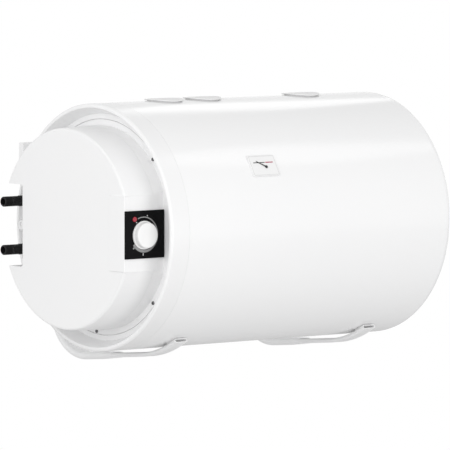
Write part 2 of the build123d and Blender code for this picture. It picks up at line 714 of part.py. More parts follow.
# Inner vessel: domed steel drum with a flanged neck
with BuildPart() as inner_vessel:
    with BuildSketch(PROFILE):
        with BuildLine():
            dome_line(0)
            dome_line(VESSEL_T)
            Line((LIP_X + VESSEL_START, 0), (LIP_X + VESSEL_START + VESSEL_T, 0))
            Line((LIP_X + VESSEL_END, 0), (LIP_X + VESSEL_END - VESSEL_T, 0))
        make_face()
    revolve(axis=TANK_AXIS)
    with BuildSketch(end_plane(NECK_FACE)):
        Circle(NECK_FLANGE_R)
    extrude(amount=NECK_FLANGE_T)
    with BuildSketch(end_plane(NECK_FACE)):
        Circle(NECK_R)
    extrude(amount=dome_depth_at(NECK_R) + VESSEL_T / 4 - NECK_FACE)
    with BuildSketch(end_plane(NECK_FACE)):
        Circle(NECK_R - NECK_WALL)
        with PolarLocations(FLANGE_BOLT_CIRCLE_R, FLANGE_BOLT_COUNT):
            Circle(FLANGE_BOLT_R + BRAZE_GAP)
    extrude(amount=NECK_FLANGE_T, mode=Mode.SUBTRACT)
    with BuildSketch(end_plane(NECK_FACE)):
        Circle(NECK_R - NECK_WALL)
    extrude(amount=VESSEL_START + DOME_DEPTH - NECK_FACE, mode=Mode.SUBTRACT)
    with BuildSketch(end_plane(NECK_FACE)):
        with Locations(*[(PIPE_BACK, height) for height in PIPE_Z]):
            Circle(PIPE_R + BRAZE_GAP)
    extrude(amount=VESSEL_START + 2 * DOME_DEPTH - NECK_FACE, mode=Mode.SUBTRACT)
    for port_at in PORT_FROM_LIP:
        with BuildSketch(top_plane(port_at, VESSEL_R - DOME_DEPTH)):
            Circle(SOCKET_BORE_R)
        extrude(amount=DOME_DEPTH + VESSEL_T, mode=Mode.SUBTRACT)
finish(inner_vessel, "inner_vessel")

# Threaded bosses welded to the back of the vessel for the bracket bolts
with BuildPart() as bracket_bosses:
    with BuildSketch(Plane.XZ.offset(-AXIS_Y - VESSEL_R - BOSS_H)):
        with Locations(*[(x, 0) for x in BRACKET_X]):
            Circle(BOSS_R)
    extrude(amount=BOSS_H + VESSEL_T)
    with BuildSketch(end_plane(0)):
        Circle(VESSEL_R)
    extrude(amount=TANK_LENGTH, mode=Mode.SUBTRACT)
    with BuildSketch(Plane.XZ.offset(-AXIS_Y - VESSEL_R - BOSS_H)):
        with Locations(*[(x, 0) for x in BRACKET_X]):
            Circle(BRACKET_BOLT_R + BRAZE_GAP)
    extrude(amount=BOSS_DEPTH, mode=Mode.SUBTRACT)
finish(bracket_bosses, "bracket_bosses")

# Port sockets welded to the top of the vessel
with BuildPart() as port_sockets:
    for port_at in PORT_FROM_LIP:
        with BuildSketch(top_plane(port_at, VESSEL_R - VESSEL_T)):
            Circle(SOCKET_R)
            Circle(SOCKET_BORE_R, mode=Mode.SUBTRACT)
        extrude(amount=SOCKET_TOP - VESSEL_R + VESSEL_T)
    with BuildSketch(end_plane(0)):
        Circle(VESSEL_R)
    extrude(amount=TANK_LENGTH, mode=Mode.SUBTRACT)
finish(port_sockets, "port_sockets")

# Hexagon plugs that close the port sockets
with BuildPart() as port_plugs:
    for port_at in PORT_FROM_LIP:
        with BuildSketch(top_plane(port_at, SOCKET_TOP - PLUG_DEPTH)):
            Circle(SOCKET_BORE_R - BRAZE_GAP)
        extrude(amount=PLUG_DEPTH)
        with BuildSketch(top_plane(port_at, SOCKET_TOP)):
            RegularPolygon(PLUG_HEX_AF / 2, 6, major_radius=False)
        extrude(amount=PLUG_HEX_H)
finish(port_plugs, "port_plugs")

# Port caps: round covers that sit on the jacket and clip into it
for port_name, port_at in zip(PORT_NAMES, PORT_FROM_LIP):
    cap_top = TANK_R + PORT_CAP_PROUD
    with BuildPart() as port_cap:
        with BuildSketch(top_plane(port_at, cap_top - PORT_CAP_SKIRT - PORT_CAP_PROUD)):
            Circle(PORT_CAP_R)
        extrude(amount=PORT_CAP_SKIRT + PORT_CAP_PROUD)
        fillet(port_cap.edges().group_by(Axis.Z)[-1], PORT_CAP_FILLET)
        with BuildSketch(end_plane(port_at)):
            Circle(TANK_R)
        extrude(amount=PORT_CAP_R + OVERCUT, both=True, mode=Mode.SUBTRACT)
        with BuildSketch(top_plane(port_at, TANK_R - PORT_SPIGOT_L)):
            Circle(PORT_SPIGOT_R)
            Circle(PORT_SPIGOT_R - PORT_SPIGOT_WALL, mode=Mode.SUBTRACT)
        extrude(amount=PORT_SPIGOT_L + PORT_CAP_PROUD / 2)
    finish(port_cap, f"{port_name}_port_cap")

# Water pipes from the ring's floor through the vessel's end to the bottom and the top of the water
PIPE_ENDS = (("cold_inlet", -1.0, PIPE_Z[1]), ("hot_outlet", 1.0, PIPE_Z[0]))
aim_back = PIPE_BACK - PIPE_AIM_Y
aim_up = PIPE_AIM_Z - PIPE_SPACING / 2
aim_length = sqrt(aim_back**2 + aim_up**2)
for pipe_name, side, pipe_z in PIPE_ENDS:
    start = Vector(LIP_X + RING_BACK + NIPPLE_TIP_CHAMFER, AXIS_Y + PIPE_BACK, pipe_z)
    corner = Vector(LIP_X + PIPE_TURN_AT, start.Y, start.Z)
    aim = Vector(0, -aim_back / aim_length, side * aim_up / aim_length)
    with BuildPart() as pipe:
        with BuildLine() as pipe_route:
            FilletPolyline(start, corner, corner + aim * PIPE_RISE, radius=PIPE_BEND_R)
        with BuildSketch(Plane(origin=start, x_dir=(0, 1, 0), z_dir=(1, 0, 0))):
            Circle(PIPE_R)
            Circle(PIPE_R - PIPE_WALL, mode=Mode.SUBTRACT)
        sweep(path=pipe_route.wires()[0])
    finish(pipe, f"{pipe_name}_pipe")

    # Black connection nipple on the outer end of the pipe
    with BuildPart() as nipple:
        with BuildSketch(end_plane(NIPPLE_TIP)):
            with Locations((PIPE_BACK, pipe_z)):
                Circle(NIPPLE_R)
        extrude(amount=NIPPLE_COLLAR_TOP - NIPPLE_TIP)
        chamfer(nipple.edges().group_by(Axis.X)[0], NIPPLE_TIP_CHAMFER)
        with BuildSketch(end_plane(NIPPLE_COLLAR_TOP)):
            with Locations((PIPE_BACK, pipe_z)):
                Circle(NIPPLE_COLLAR_R)
        extrude(amount=RING_BACK + NIPPLE_TIP_CHAMFER - NIPPLE_COLLAR_TOP)
        with BuildSketch(end_plane(NIPPLE_TIP)):
            with Locations((PIPE_BACK, pipe_z)):
                Circle(NIPPLE_BORE_R)
        extrude(amount=RING_BACK + NIPPLE_TIP_CHAMFER - NIPPLE_TIP, mode=Mode.SUBTRACT)
    finish(nipple, f"{pipe_name}_nipple")

# Flange plate with holes for the elements, the sensor pocket, the anode and the bolts
element_legs = [
    (row_side * ELEMENT_ROW_GAP / 2 + leg_side * ELEMENT_HALF_W / 2, ELEMENT_Z)
    for row_side in (-1, 1)
    for leg_side in (-1, 1)
]
with BuildPart() as flange_plate:
    with BuildSketch(end_plane(PLATE_FACE)):
        Circle(NECK_FLANGE_R)
        with PolarLocations(FLANGE_BOLT_CIRCLE_R, FLANGE_BOLT_COUNT):
            Circle(FLANGE_BOLT_R + BOLT_CLEARANCE, mode=Mode.SUBTRACT)
        with Locations(*element_legs):
            Circle(ELEMENT_TUBE_R + BRAZE_GAP, mode=Mode.SUBTRACT)
        with Locations((POCKET_Y, POCKET_Z)):
            Circle(POCKET_R + BRAZE_GAP, mode=Mode.SUBTRACT)
        with Locations((ANODE_Y, ANODE_Z)):
            Circle(ANODE_STUD_R + BRAZE_GAP, mode=Mode.SUBTRACT)
    extrude(amount=FLANGE_PLATE_T)
finish(flange_plate, "flange_plate")

# Gasket between the flange plate and the neck
with BuildPart() as flange_gasket:
    with BuildSketch(end_plane(GASKET_FACE)):
        Circle(NECK_FLANGE_R)
        Circle(NECK_R - NECK_WALL, mode=Mode.SUBTRACT)
        with PolarLocations(FLANGE_BOLT_CIRCLE_R, FLANGE_BOLT_COUNT):
            Circle(FLANGE_BOLT_R + BOLT_CLEARANCE, mode=Mode.SUBTRACT)
    extrude(amount=GASKET_T)
finish(flange_gasket, "flange_gasket")

# Flange bolts with hexagon heads
with BuildPart() as flange_bolts:
    with BuildSketch(end_plane(PLATE_FACE - FLANGE_BOLT_HEAD_H)):
        with PolarLocations(FLANGE_BOLT_CIRCLE_R, FLANGE_BOLT_COUNT):
            RegularPolygon(FLANGE_BOLT_AF / 2, 6, major_radius=False)
    extrude(amount=FLANGE_BOLT_HEAD_H)
    with BuildSketch(end_plane(PLATE_FACE)):
        with PolarLocations(FLANGE_BOLT_CIRCLE_R, FLANGE_BOLT_COUNT):
            Circle(FLANGE_BOLT_R)
    extrude(amount=FLANGE_PLATE_T + GASKET_T + NECK_FLANGE_T + FLANGE_BOLT_OUT)
finish(flange_bolts, "flange_bolts")

# Heating elements: two hairpins side by side
with BuildPart() as heating_elements:
    for row_side in (-1, 1):
        row_y = AXIS_Y + row_side * ELEMENT_ROW_GAP / 2
        half = ELEMENT_HALF_W / 2
        begin = LIP_X + PLATE_FACE - ELEMENT_PIN_OUT
        turn = LIP_X + ELEMENT_END
        with BuildLine() as hairpin:
            Line((begin, row_y - half, ELEMENT_Z), (turn, row_y - half, ELEMENT_Z))
            ThreePointArc(
                (turn, row_y - half, ELEMENT_Z),
                (turn + half, row_y, ELEMENT_Z),
                (turn, row_y + half, ELEMENT_Z),
            )
            Line((turn, row_y + half, ELEMENT_Z), (begin, row_y + half, ELEMENT_Z))
        with BuildSketch(
            Plane(origin=(begin, row_y - half, ELEMENT_Z), x_dir=(0, 1, 0), z_dir=(1, 0, 0))
        ):
            Circle(ELEMENT_TUBE_R)
        sweep(path=hairpin.wires()[0])
finish(heating_elements, "heating_elements")

# Sensor pocket: closed tube for the thermostat's and the cut-out's bulbs
with BuildPart() as sensor_pocket:
    with BuildSketch(end_plane(PLATE_FACE - POCKET_OUT)):
        with Locations((POCKET_Y, POCKET_Z)):
            Circle(POCKET_R)
    extrude(amount=POCKET_END - PLATE_FACE + POCKET_OUT)
    with BuildSketch(end_plane(PLATE_FACE - POCKET_OUT)):
        with Locations((POCKET_Y, POCKET_Z)):
            Circle(POCKET_BORE_R)
    extrude(amount=POCKET_END - PLATE_FACE + POCKET_OUT - POCKET_R, mode=Mode.SUBTRACT)
finish(sensor_pocket, "sensor_pocket")

# Protective anode on its stud
with BuildPart() as anode_rod:
    with BuildSketch(end_plane(PLATE_FACE - ANODE_STUD_OUT)):
        with Locations((ANODE_Y, ANODE_Z)):
            Circle(ANODE_STUD_R)
    extrude(amount=ANODE_STUD_OUT + FLANGE_PLATE_T)
    with BuildSketch(end_plane(GASKET_FACE)):
        with Locations((ANODE_Y, ANODE_Z)):
            Circle(ANODE_R)
    extrude(amount=ANODE_END - GASKET_FACE)
    chamfer(anode_rod.edges().group_by(Axis.X)[-1], ANODE_STUD_R / 2)
finish(anode_rod, "anode_rod")

# Strap that carries the safety cut-out and the terminal block in front of the flange plate
STRAP_FACE = BASE_TOP - DEVICE_STRAP_T
with BuildPart() as device_strap:
    strap_span = BASE_OPENING_R + POST_R
    with BuildSketch(end_plane(STRAP_FACE)):
        Rectangle(TERMINAL_L, 2 * strap_span)
        Rectangle(TERMINAL_L - 2 * POST_R, 2 * NECK_R, mode=Mode.SUBTRACT)
    extrude(amount=DEVICE_STRAP_T)
finish(device_strap, "device_strap")

# Safety cut-out with a bore for its reset button
with BuildPart() as safety_cutout:
    cutout_face = STRAP_FACE - CUTOUT_D
    with BuildSketch(end_plane(cutout_face)):
        with Locations((0, NECK_FLANGE_R)):
            RectangleRounded(CUTOUT_W, CUTOUT_H, LENS_STEM_R)
    extrude(amount=CUTOUT_D)
    with BuildSketch(end_plane(cutout_face)):
        with Locations((0, NECK_FLANGE_R)):
            Circle(BUTTON_R + BUTTON_CLEARANCE)
    extrude(amount=BUTTON_L - BUTTON_PROUD + BUTTON_TRAVEL + BUTTON_CLEARANCE, mode=Mode.SUBTRACT)
finish(safety_cutout, "safety_cutout")

# Reset button of the safety cut-out
with BuildPart() as reset_button:
    with BuildSketch(end_plane(cutout_face - BUTTON_PROUD)):
        with Locations((0, NECK_FLANGE_R)):
            Circle(BUTTON_R)
    extrude(amount=BUTTON_L)
    fillet(reset_button.edges().group_by(Axis.X)[0], BUTTON_CLEARANCE * 2)
finish(reset_button, "reset_button")

# Terminal block for the supply wires
with BuildPart() as terminal_block:
    terminal_pitch = TERMINAL_L / TERMINAL_POLES
    terminal_face = STRAP_FACE - TERMINAL_H
    with BuildSketch(end_plane(terminal_face)):
        with Locations((0, -NECK_FLANGE_R)):
            Rectangle(TERMINAL_L, TERMINAL_W)
    extrude(amount=TERMINAL_H)
    with BuildSketch(end_plane(terminal_face)):
        with Locations((0, -NECK_FLANGE_R)):
            with GridLocations(terminal_pitch, TERMINAL_W / 2, TERMINAL_POLES, 2):
                Circle(TERMINAL_SCREW_R)
    extrude(amount=TERMINAL_SCREW_DEPTH, mode=Mode.SUBTRACT)
finish(terminal_block, "terminal_block")

# Thermometer plate bedded on the jacket
with BuildPart() as thermometer_plate:
    with BuildSketch(dial_plane(TANK_R - DIAL_SKIRT)):
        RectangleRounded(DIAL_W, DIAL_H, DIAL_CORNER_R)
    extrude(amount=DIAL_SKIRT + DIAL_PROUD)
    dial_normal = dial_plane(TANK_R).z_dir
    dial_front = thermometer_plate.faces().sort_by(Axis((0, 0, 0), dial_normal))[-1]
    chamfer(dial_front.outer_wire().edges(), DIAL_EDGE)
    with BuildSketch(end_plane(DIAL_FROM_LIP)):
        Circle(TANK_R)
    extrude(amount=DIAL_W, both=True, mode=Mode.SUBTRACT)
    with BuildSketch(dial_plane(TANK_R)):
        with Locations((PIVOT_U, PIVOT_V)):
            Circle(PIVOT_R)
    extrude(amount=DIAL_SKIRT + DIAL_PROUD, mode=Mode.SUBTRACT)
finish(thermometer_plate, "thermometer_plate")

# Thermometer stem from the plate to the vessel's wall
with BuildPart() as thermometer_stem:
    with BuildSketch(dial_plane(VESSEL_R + SEAT_GAP)):
        Circle(STEM_R)
    extrude(amount=TANK_R - VESSEL_R - SEAT_GAP - SEAT_GAP)
finish(thermometer_stem, "thermometer_stem")

# Pivot pin of the needle
needle_base = TANK_R + DIAL_PROUD + NEEDLE_LIFT
pin_head_base = needle_base + NEEDLE_T + NEEDLE_LIFT
with BuildPart() as needle_pin:
    with BuildSketch(dial_plane(TANK_R + DIAL_PROUD - PIVOT_SINK)):
        with Locations((PIVOT_U, PIVOT_V)):
            Circle(PIVOT_R)
    extrude(amount=PIVOT_SINK + NEEDLE_LIFT + NEEDLE_T + NEEDLE_LIFT)
    with BuildSketch(dial_plane(pin_head_base)):
        with Locations((PIVOT_U, PIVOT_V)):
            Circle(PIVOT_HEAD_R)
    extrude(amount=PIVOT_HEAD_T)
finish(needle_pin, "needle_pin")

# Needle at the cold end of its scale
needle_reach = sqrt(NEEDLE_TIP_U**2 + NEEDLE_TIP_V**2)
needle_dir = (NEEDLE_TIP_U / needle_reach, NEEDLE_TIP_V / needle_reach)
needle_side = (-needle_dir[1], needle_dir[0])


def needle_point(along, across):
    """Point on the needle, measured from its pivot."""
    return (
        PIVOT_U + along * needle_dir[0] + across * needle_side[0],
        PIVOT_V + along * needle_dir[1] + across * needle_side[1],
    )


with BuildPart() as thermometer_needle:
    with BuildSketch(dial_plane(needle_base)):
        with BuildLine():
            Polyline(
                needle_point(0, NEEDLE_ROOT_W / 2),
                needle_point(NEEDLE_L, NEEDLE_TIP_W / 2),
                needle_point(NEEDLE_L, -NEEDLE_TIP_W / 2),
                needle_point(0, -NEEDLE_ROOT_W / 2),
                close=True,
            )
        make_face()
        with Locations((PIVOT_U, PIVOT_V)):
            Circle(NEEDLE_HUB_R)
            Circle(PIVOT_R + NEEDLE_CLEARANCE, mode=Mode.SUBTRACT)
    extrude(amount=NEEDLE_T)
finish(thermometer_needle, "thermometer_needle")

# Wall brackets: a J-shaped flat-oval leg on the wall and an arm that plugs into it under the tank
slope = radians(ARM_SLOPE)
arc_end_y = ARM_ARC_Y - ARM_ARC_R * sin(slope)
arc_end_z = ARM_ARC_Z - ARM_ARC_R * cos(slope)
bend_centre_y = LEG_CENTRE_Y - LEG_BEND_R
bend_start_y = bend_centre_y - LEG_BEND_R * sin(slope)


def strap_height(back):
    """Height of the straight run's centreline at a distance behind the tank's axis."""
    return arc_end_z - tan(slope) * (back - arc_end_y)


bend_centre_z = strap_height(bend_start_y) + LEG_BEND_R * cos(slope)
arm_end_y = LEG_MOUTH_Y + ARM_INSERT
for side_name, bracket_x in zip(SIDES, BRACKET_X):
    bracket_plane = Plane(origin=(bracket_x, AXIS_Y, 0), x_dir=(0, 1, 0), z_dir=(1, 0, 0))

    with BuildPart() as wall_leg:
        with BuildLine(bracket_plane) as leg_route:
            Line((LEG_MOUTH_Y, strap_height(LEG_MOUTH_Y)), (bend_start_y, strap_height(bend_start_y)))
            CenterArc((bend_centre_y, bend_centre_z), LEG_BEND_R, -(90 + ARM_SLOPE), 90 + ARM_SLOPE)
            Line((LEG_CENTRE_Y, bend_centre_z), (LEG_CENTRE_Y, RAIL_BOTTOM))
        leg_wire = leg_route.wires()[0]
        with BuildSketch(Plane(origin=leg_wire @ 0, x_dir=(1, 0, 0), z_dir=leg_wire % 0)):
            SlotOverall(LEG_W, LEG_T)
            SlotOverall(ARM_W + 2 * ARM_CLEARANCE, ARM_T + 2 * ARM_CLEARANCE, mode=Mode.SUBTRACT)
        sweep(path=leg_wire)
        mouth = wall_leg.faces().sort_by(Axis.Y)[0]
        chamfer(mouth.outer_wire().edges(), LEG_SWAGE_STEP, LEG_SWAGE_L, reference=mouth)
        with BuildSketch(Plane.XZ):
            with Locations((bracket_x, -WALL_BOLT_Z)):
                Circle(WALL_BOLT_R)
            with Locations((bracket_x, 0)):
                Circle(BRACKET_BOLT_HOLE_R)
        extrude(amount=LEG_T + OVERCUT, mode=Mode.SUBTRACT)
        with BuildSketch(Plane.XZ):
            with Locations((bracket_x, 0)):
                Circle(HEAD_ACCESS_R)
        extrude(amount=LEG_T / 2, mode=Mode.SUBTRACT)
    finish(wall_leg, f"{side_name}_wall_leg")

    with BuildPart() as arm_envelope:
        with BuildLine(bracket_plane) as arm_route:
            CenterArc(
                (ARM_ARC_Y, ARM_ARC_Z), ARM_ARC_R, -(90 + ARM_TIP_ANGLE), ARM_TIP_ANGLE - ARM_SLOPE
            )
            Line((arc_end_y, arc_end_z), (arm_end_y, strap_height(arm_end_y)))
        arm_wire = arm_route.wires()[0]
        arm_start = Plane(origin=arm_wire @ 0, x_dir=(1, 0, 0), z_dir=arm_wire % 0)
        with BuildSketch(arm_start):
            SlotOverall(ARM_W, ARM_T)
        sweep(path=arm_wire)

    with BuildPart() as cradle_arm:
        add(arm_envelope.part)
        with BuildSketch(arm_start):
            SlotOverall(ARM_W - 2 * ARM_WALL, ARM_T - 2 * ARM_WALL)
        sweep(path=arm_wire, mode=Mode.SUBTRACT)
    finish(cradle_arm, f"{side_name}_cradle_arm")

    # Rubber pad between the arm's tip and the jacket
    with BuildPart() as saddle_pad:
        with BuildSketch(Plane(origin=(bracket_x - PAD_W / 2, AXIS_Y, 0), x_dir=(0, 1, 0), z_dir=(1, 0, 0))):
            with BuildLine():
                inner = CenterArc(
                    (0, 0), TANK_R, -(90 + PAD_END_ANGLE), PAD_END_ANGLE - PAD_START_ANGLE
                )
                outer = CenterArc(
                    (0, 0), TANK_R + ARM_T, -(90 + PAD_END_ANGLE), PAD_END_ANGLE - PAD_START_ANGLE
                )
                Line(inner @ 0, outer @ 0)
                Line(inner @ 1, outer @ 1)
            make_face()
        extrude(amount=PAD_W)
        add(arm_envelope.part, mode=Mode.SUBTRACT)
    pad_solids = saddle_pad.part.solids().sort_by(Axis.Z)
    with BuildPart() as pad_only:
        add(pad_solids[-1])
    finish(pad_only, f"{side_name}_saddle_pad")

# Wall rail across the tops of the legs
with BuildPart() as wall_rail:
    with BuildSketch(Plane(origin=(-RAIL_LENGTH / 2, 0, 0), x_dir=(0, 1, 0), z_dir=(1, 0, 0))):
        with Locations((-LEG_T / 2, RAIL_TOP - RAIL_H / 2)):
            RectangleRounded(LEG_T, RAIL_H, RAIL_CORNER_R)
            Rectangle(LEG_T - 2 * RAIL_WALL, RAIL_H - 2 * RAIL_WALL, mode=Mode.SUBTRACT)
    extrude(amount=RAIL_LENGTH)
    with BuildSketch(Plane.XZ):
        with Locations(*[(x, WALL_BOLT_Z) for x in BRACKET_X]):
            Circle(WALL_BOLT_R)
    extrude(amount=LEG_T + OVERCUT, mode=Mode.SUBTRACT)
finish(wall_rail, "wall_rail")

# Plugs that close the rail's ends
with BuildPart() as rail_end_plugs:
    for side in (-1, 1):
        plug_at = (side * RAIL_LENGTH / 2, -LEG_T / 2, RAIL_TOP - RAIL_H / 2)
        plug_plane = Plane(origin=plug_at, x_dir=(0, 1, 0), z_dir=(side, 0, 0))
        with BuildSketch(plug_plane):
            RectangleRounded(LEG_T, RAIL_H, RAIL_CORNER_R)
        extrude(amount=RAIL_PLUG_T)
        with BuildSketch(plug_plane):
            Rectangle(LEG_T - 2 * (RAIL_WALL + SEAT_GAP), RAIL_H - 2 * (RAIL_WALL + SEAT_GAP))
        extrude(amount=-RAIL_PLUG_L)
finish(rail_end_plugs, "rail_end_plugs")

# Spacers between the legs and the back of the jacket
with BuildPart() as bracket_spacers:
    with BuildSketch(Plane.XZ.offset(LEG_T)):
        with Locations(*[(x, 0) for x in BRACKET_X]):
            Circle(SPACER_R)
            Circle(BRACKET_BOLT_HOLE_R, mode=Mode.SUBTRACT)
    extrude(amount=WALL_GAP)
    with BuildSketch(end_plane(0)):
        Circle(TANK_R)
    extrude(amount=TANK_LENGTH, mode=Mode.SUBTRACT)
finish(bracket_spacers, "bracket_spacers")

# Bolts that hold the legs to the vessel's bosses
leg_inner_wall = (LEG_T - ARM_T) / 2 - ARM_CLEARANCE
bolt_seat = LEG_T - leg_inner_wall
with BuildPart() as bracket_bolts:
    with BuildSketch(Plane.XZ.offset(bolt_seat - BRACKET_BOLT_HEAD_H)):
        with Locations(*[(x, 0) for x in BRACKET_X]):
            RegularPolygon(BRACKET_BOLT_AF / 2, 6, major_radius=False)
    extrude(amount=BRACKET_BOLT_HEAD_H)
    with BuildSketch(Plane.XZ.offset(bolt_seat)):
        with Locations(*[(x, 0) for x in BRACKET_X]):
            Circle(BRACKET_BOLT_R)
    extrude(amount=TANK_R + WALL_GAP - VESSEL_R - BOSS_H + BOSS_DEPTH / 2 - bolt_seat)
finish(bracket_bolts, "bracket_bolts")

# Insulation: foam that fills the space between the vessel and the jacket
with BuildPart() as insulation:
    foam_start = RING_BACK + SEAT_GAP
    foam_end = TANK_LENGTH - END_CAP_T - END_DISH_DEPTH - SEAT_GAP
    foam_r = TANK_R - RING_WALL - JACKET_T - SEAT_GAP
    with BuildSketch(end_plane(RING_DEPTH + RING_SPIGOT)):
        Circle(foam_r)
    extrude(amount=JACKET_END - END_CAP_SPIGOT - RING_DEPTH - RING_SPIGOT)
    with BuildSketch(end_plane(foam_start)):
        Circle(RING_FOOT_R)
    extrude(amount=foam_end - foam_start)
    with BuildSketch(PROFILE):
        with BuildLine():
            dome_line(-SEAT_GAP)
            Line((LIP_X + VESSEL_START - SEAT_GAP, 0), (LIP_X + VESSEL_END + SEAT_GAP, 0))
        make_face()
    revolve(axis=TANK_AXIS, mode=Mode.SUBTRACT)
    with BuildSketch(end_plane(foam_start)):
        Circle(NECK_FLANGE_R + RING_WALL)
    extrude(amount=VESSEL_START + DOME_DEPTH / 2 - foam_start, mode=Mode.SUBTRACT)
    with BuildSketch(end_plane(foam_start)):
        with Locations(*[(PIPE_BACK, height) for height in PIPE_Z]):
            Circle(NIPPLE_COLLAR_R + PIPE_HOLE_GAP)
    extrude(amount=VESSEL_START + DOME_DEPTH - foam_start, mode=Mode.SUBTRACT)
    with BuildSketch(end_plane(foam_start)):
        with Locations(*circle_points(SCREW_CIRCLE_R, SCREW_ANGLES)):
            Circle(SCREW_SHANK_R + SEAT_GAP)
    extrude(amount=SCREW_LENGTH, mode=Mode.SUBTRACT)
    for port_at in PORT_FROM_LIP:
        with BuildSketch(top_plane(port_at, VESSEL_R - DOME_DEPTH)):
            Circle(PORT_HOLE_R)
        extrude(amount=TANK_R, mode=Mode.SUBTRACT)
    with BuildSketch(dial_plane(VESSEL_R - VESSEL_T)):
        Circle(STEM_R + STEM_HOLE_GAP)
    extrude(amount=TANK_R, mode=Mode.SUBTRACT)
    with BuildSketch(Plane.XZ.offset(-AXIS_Y - VESSEL_R + VESSEL_T)):
        with Locations(*[(x, 0) for x in BRACKET_X]):
            Circle(BOSS_R + SEAT_GAP)
    extrude(amount=-TANK_R, mode=Mode.SUBTRACT)
finish(insulation, "insulation")
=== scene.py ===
"""Looks of a wall-hung horizontal tank water heater.

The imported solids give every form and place. This script gives them their finishes, adds the
printed marks, the pipe threads and the bent port caps, and sets up the studio.
All lengths are metres and all angles degrees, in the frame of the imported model.
"""

import logging
from collections.abc import Iterator
from contextlib import contextmanager
from dataclasses import dataclass, field
from enum import Enum
from math import cos, pi, radians, sin, sqrt

import bpy
from mathutils import Matrix, Vector


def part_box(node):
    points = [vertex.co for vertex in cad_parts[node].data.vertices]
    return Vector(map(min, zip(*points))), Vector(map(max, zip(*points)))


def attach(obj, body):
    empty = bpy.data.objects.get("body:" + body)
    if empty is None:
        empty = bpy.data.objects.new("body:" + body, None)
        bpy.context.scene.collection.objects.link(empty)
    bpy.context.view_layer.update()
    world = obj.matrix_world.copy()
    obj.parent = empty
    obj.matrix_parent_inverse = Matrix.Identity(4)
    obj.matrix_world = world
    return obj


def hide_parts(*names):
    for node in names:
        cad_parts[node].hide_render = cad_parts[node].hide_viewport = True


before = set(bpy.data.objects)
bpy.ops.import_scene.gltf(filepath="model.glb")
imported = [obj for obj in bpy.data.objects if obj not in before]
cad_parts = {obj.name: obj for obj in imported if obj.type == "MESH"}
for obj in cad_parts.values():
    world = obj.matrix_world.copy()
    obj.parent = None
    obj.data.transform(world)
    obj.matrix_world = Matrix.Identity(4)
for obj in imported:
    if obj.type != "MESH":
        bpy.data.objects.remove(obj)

LOG = logging.getLogger("water_heater")
MM = 0.001
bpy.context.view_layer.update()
TANK_BODY = "tank"
MERGE_GAP = 1e-6

Color = tuple[float, float, float]
Point = tuple[float, float]
Point3 = tuple[float, float, float]


class Surface(Enum):
    """Kinds of surface that share a grain."""

    ENAMEL = "enamel"
    MOULDED = "moulded"
    BRUSHED = "brushed"
    CAST = "cast"
    FOAM = "foam"


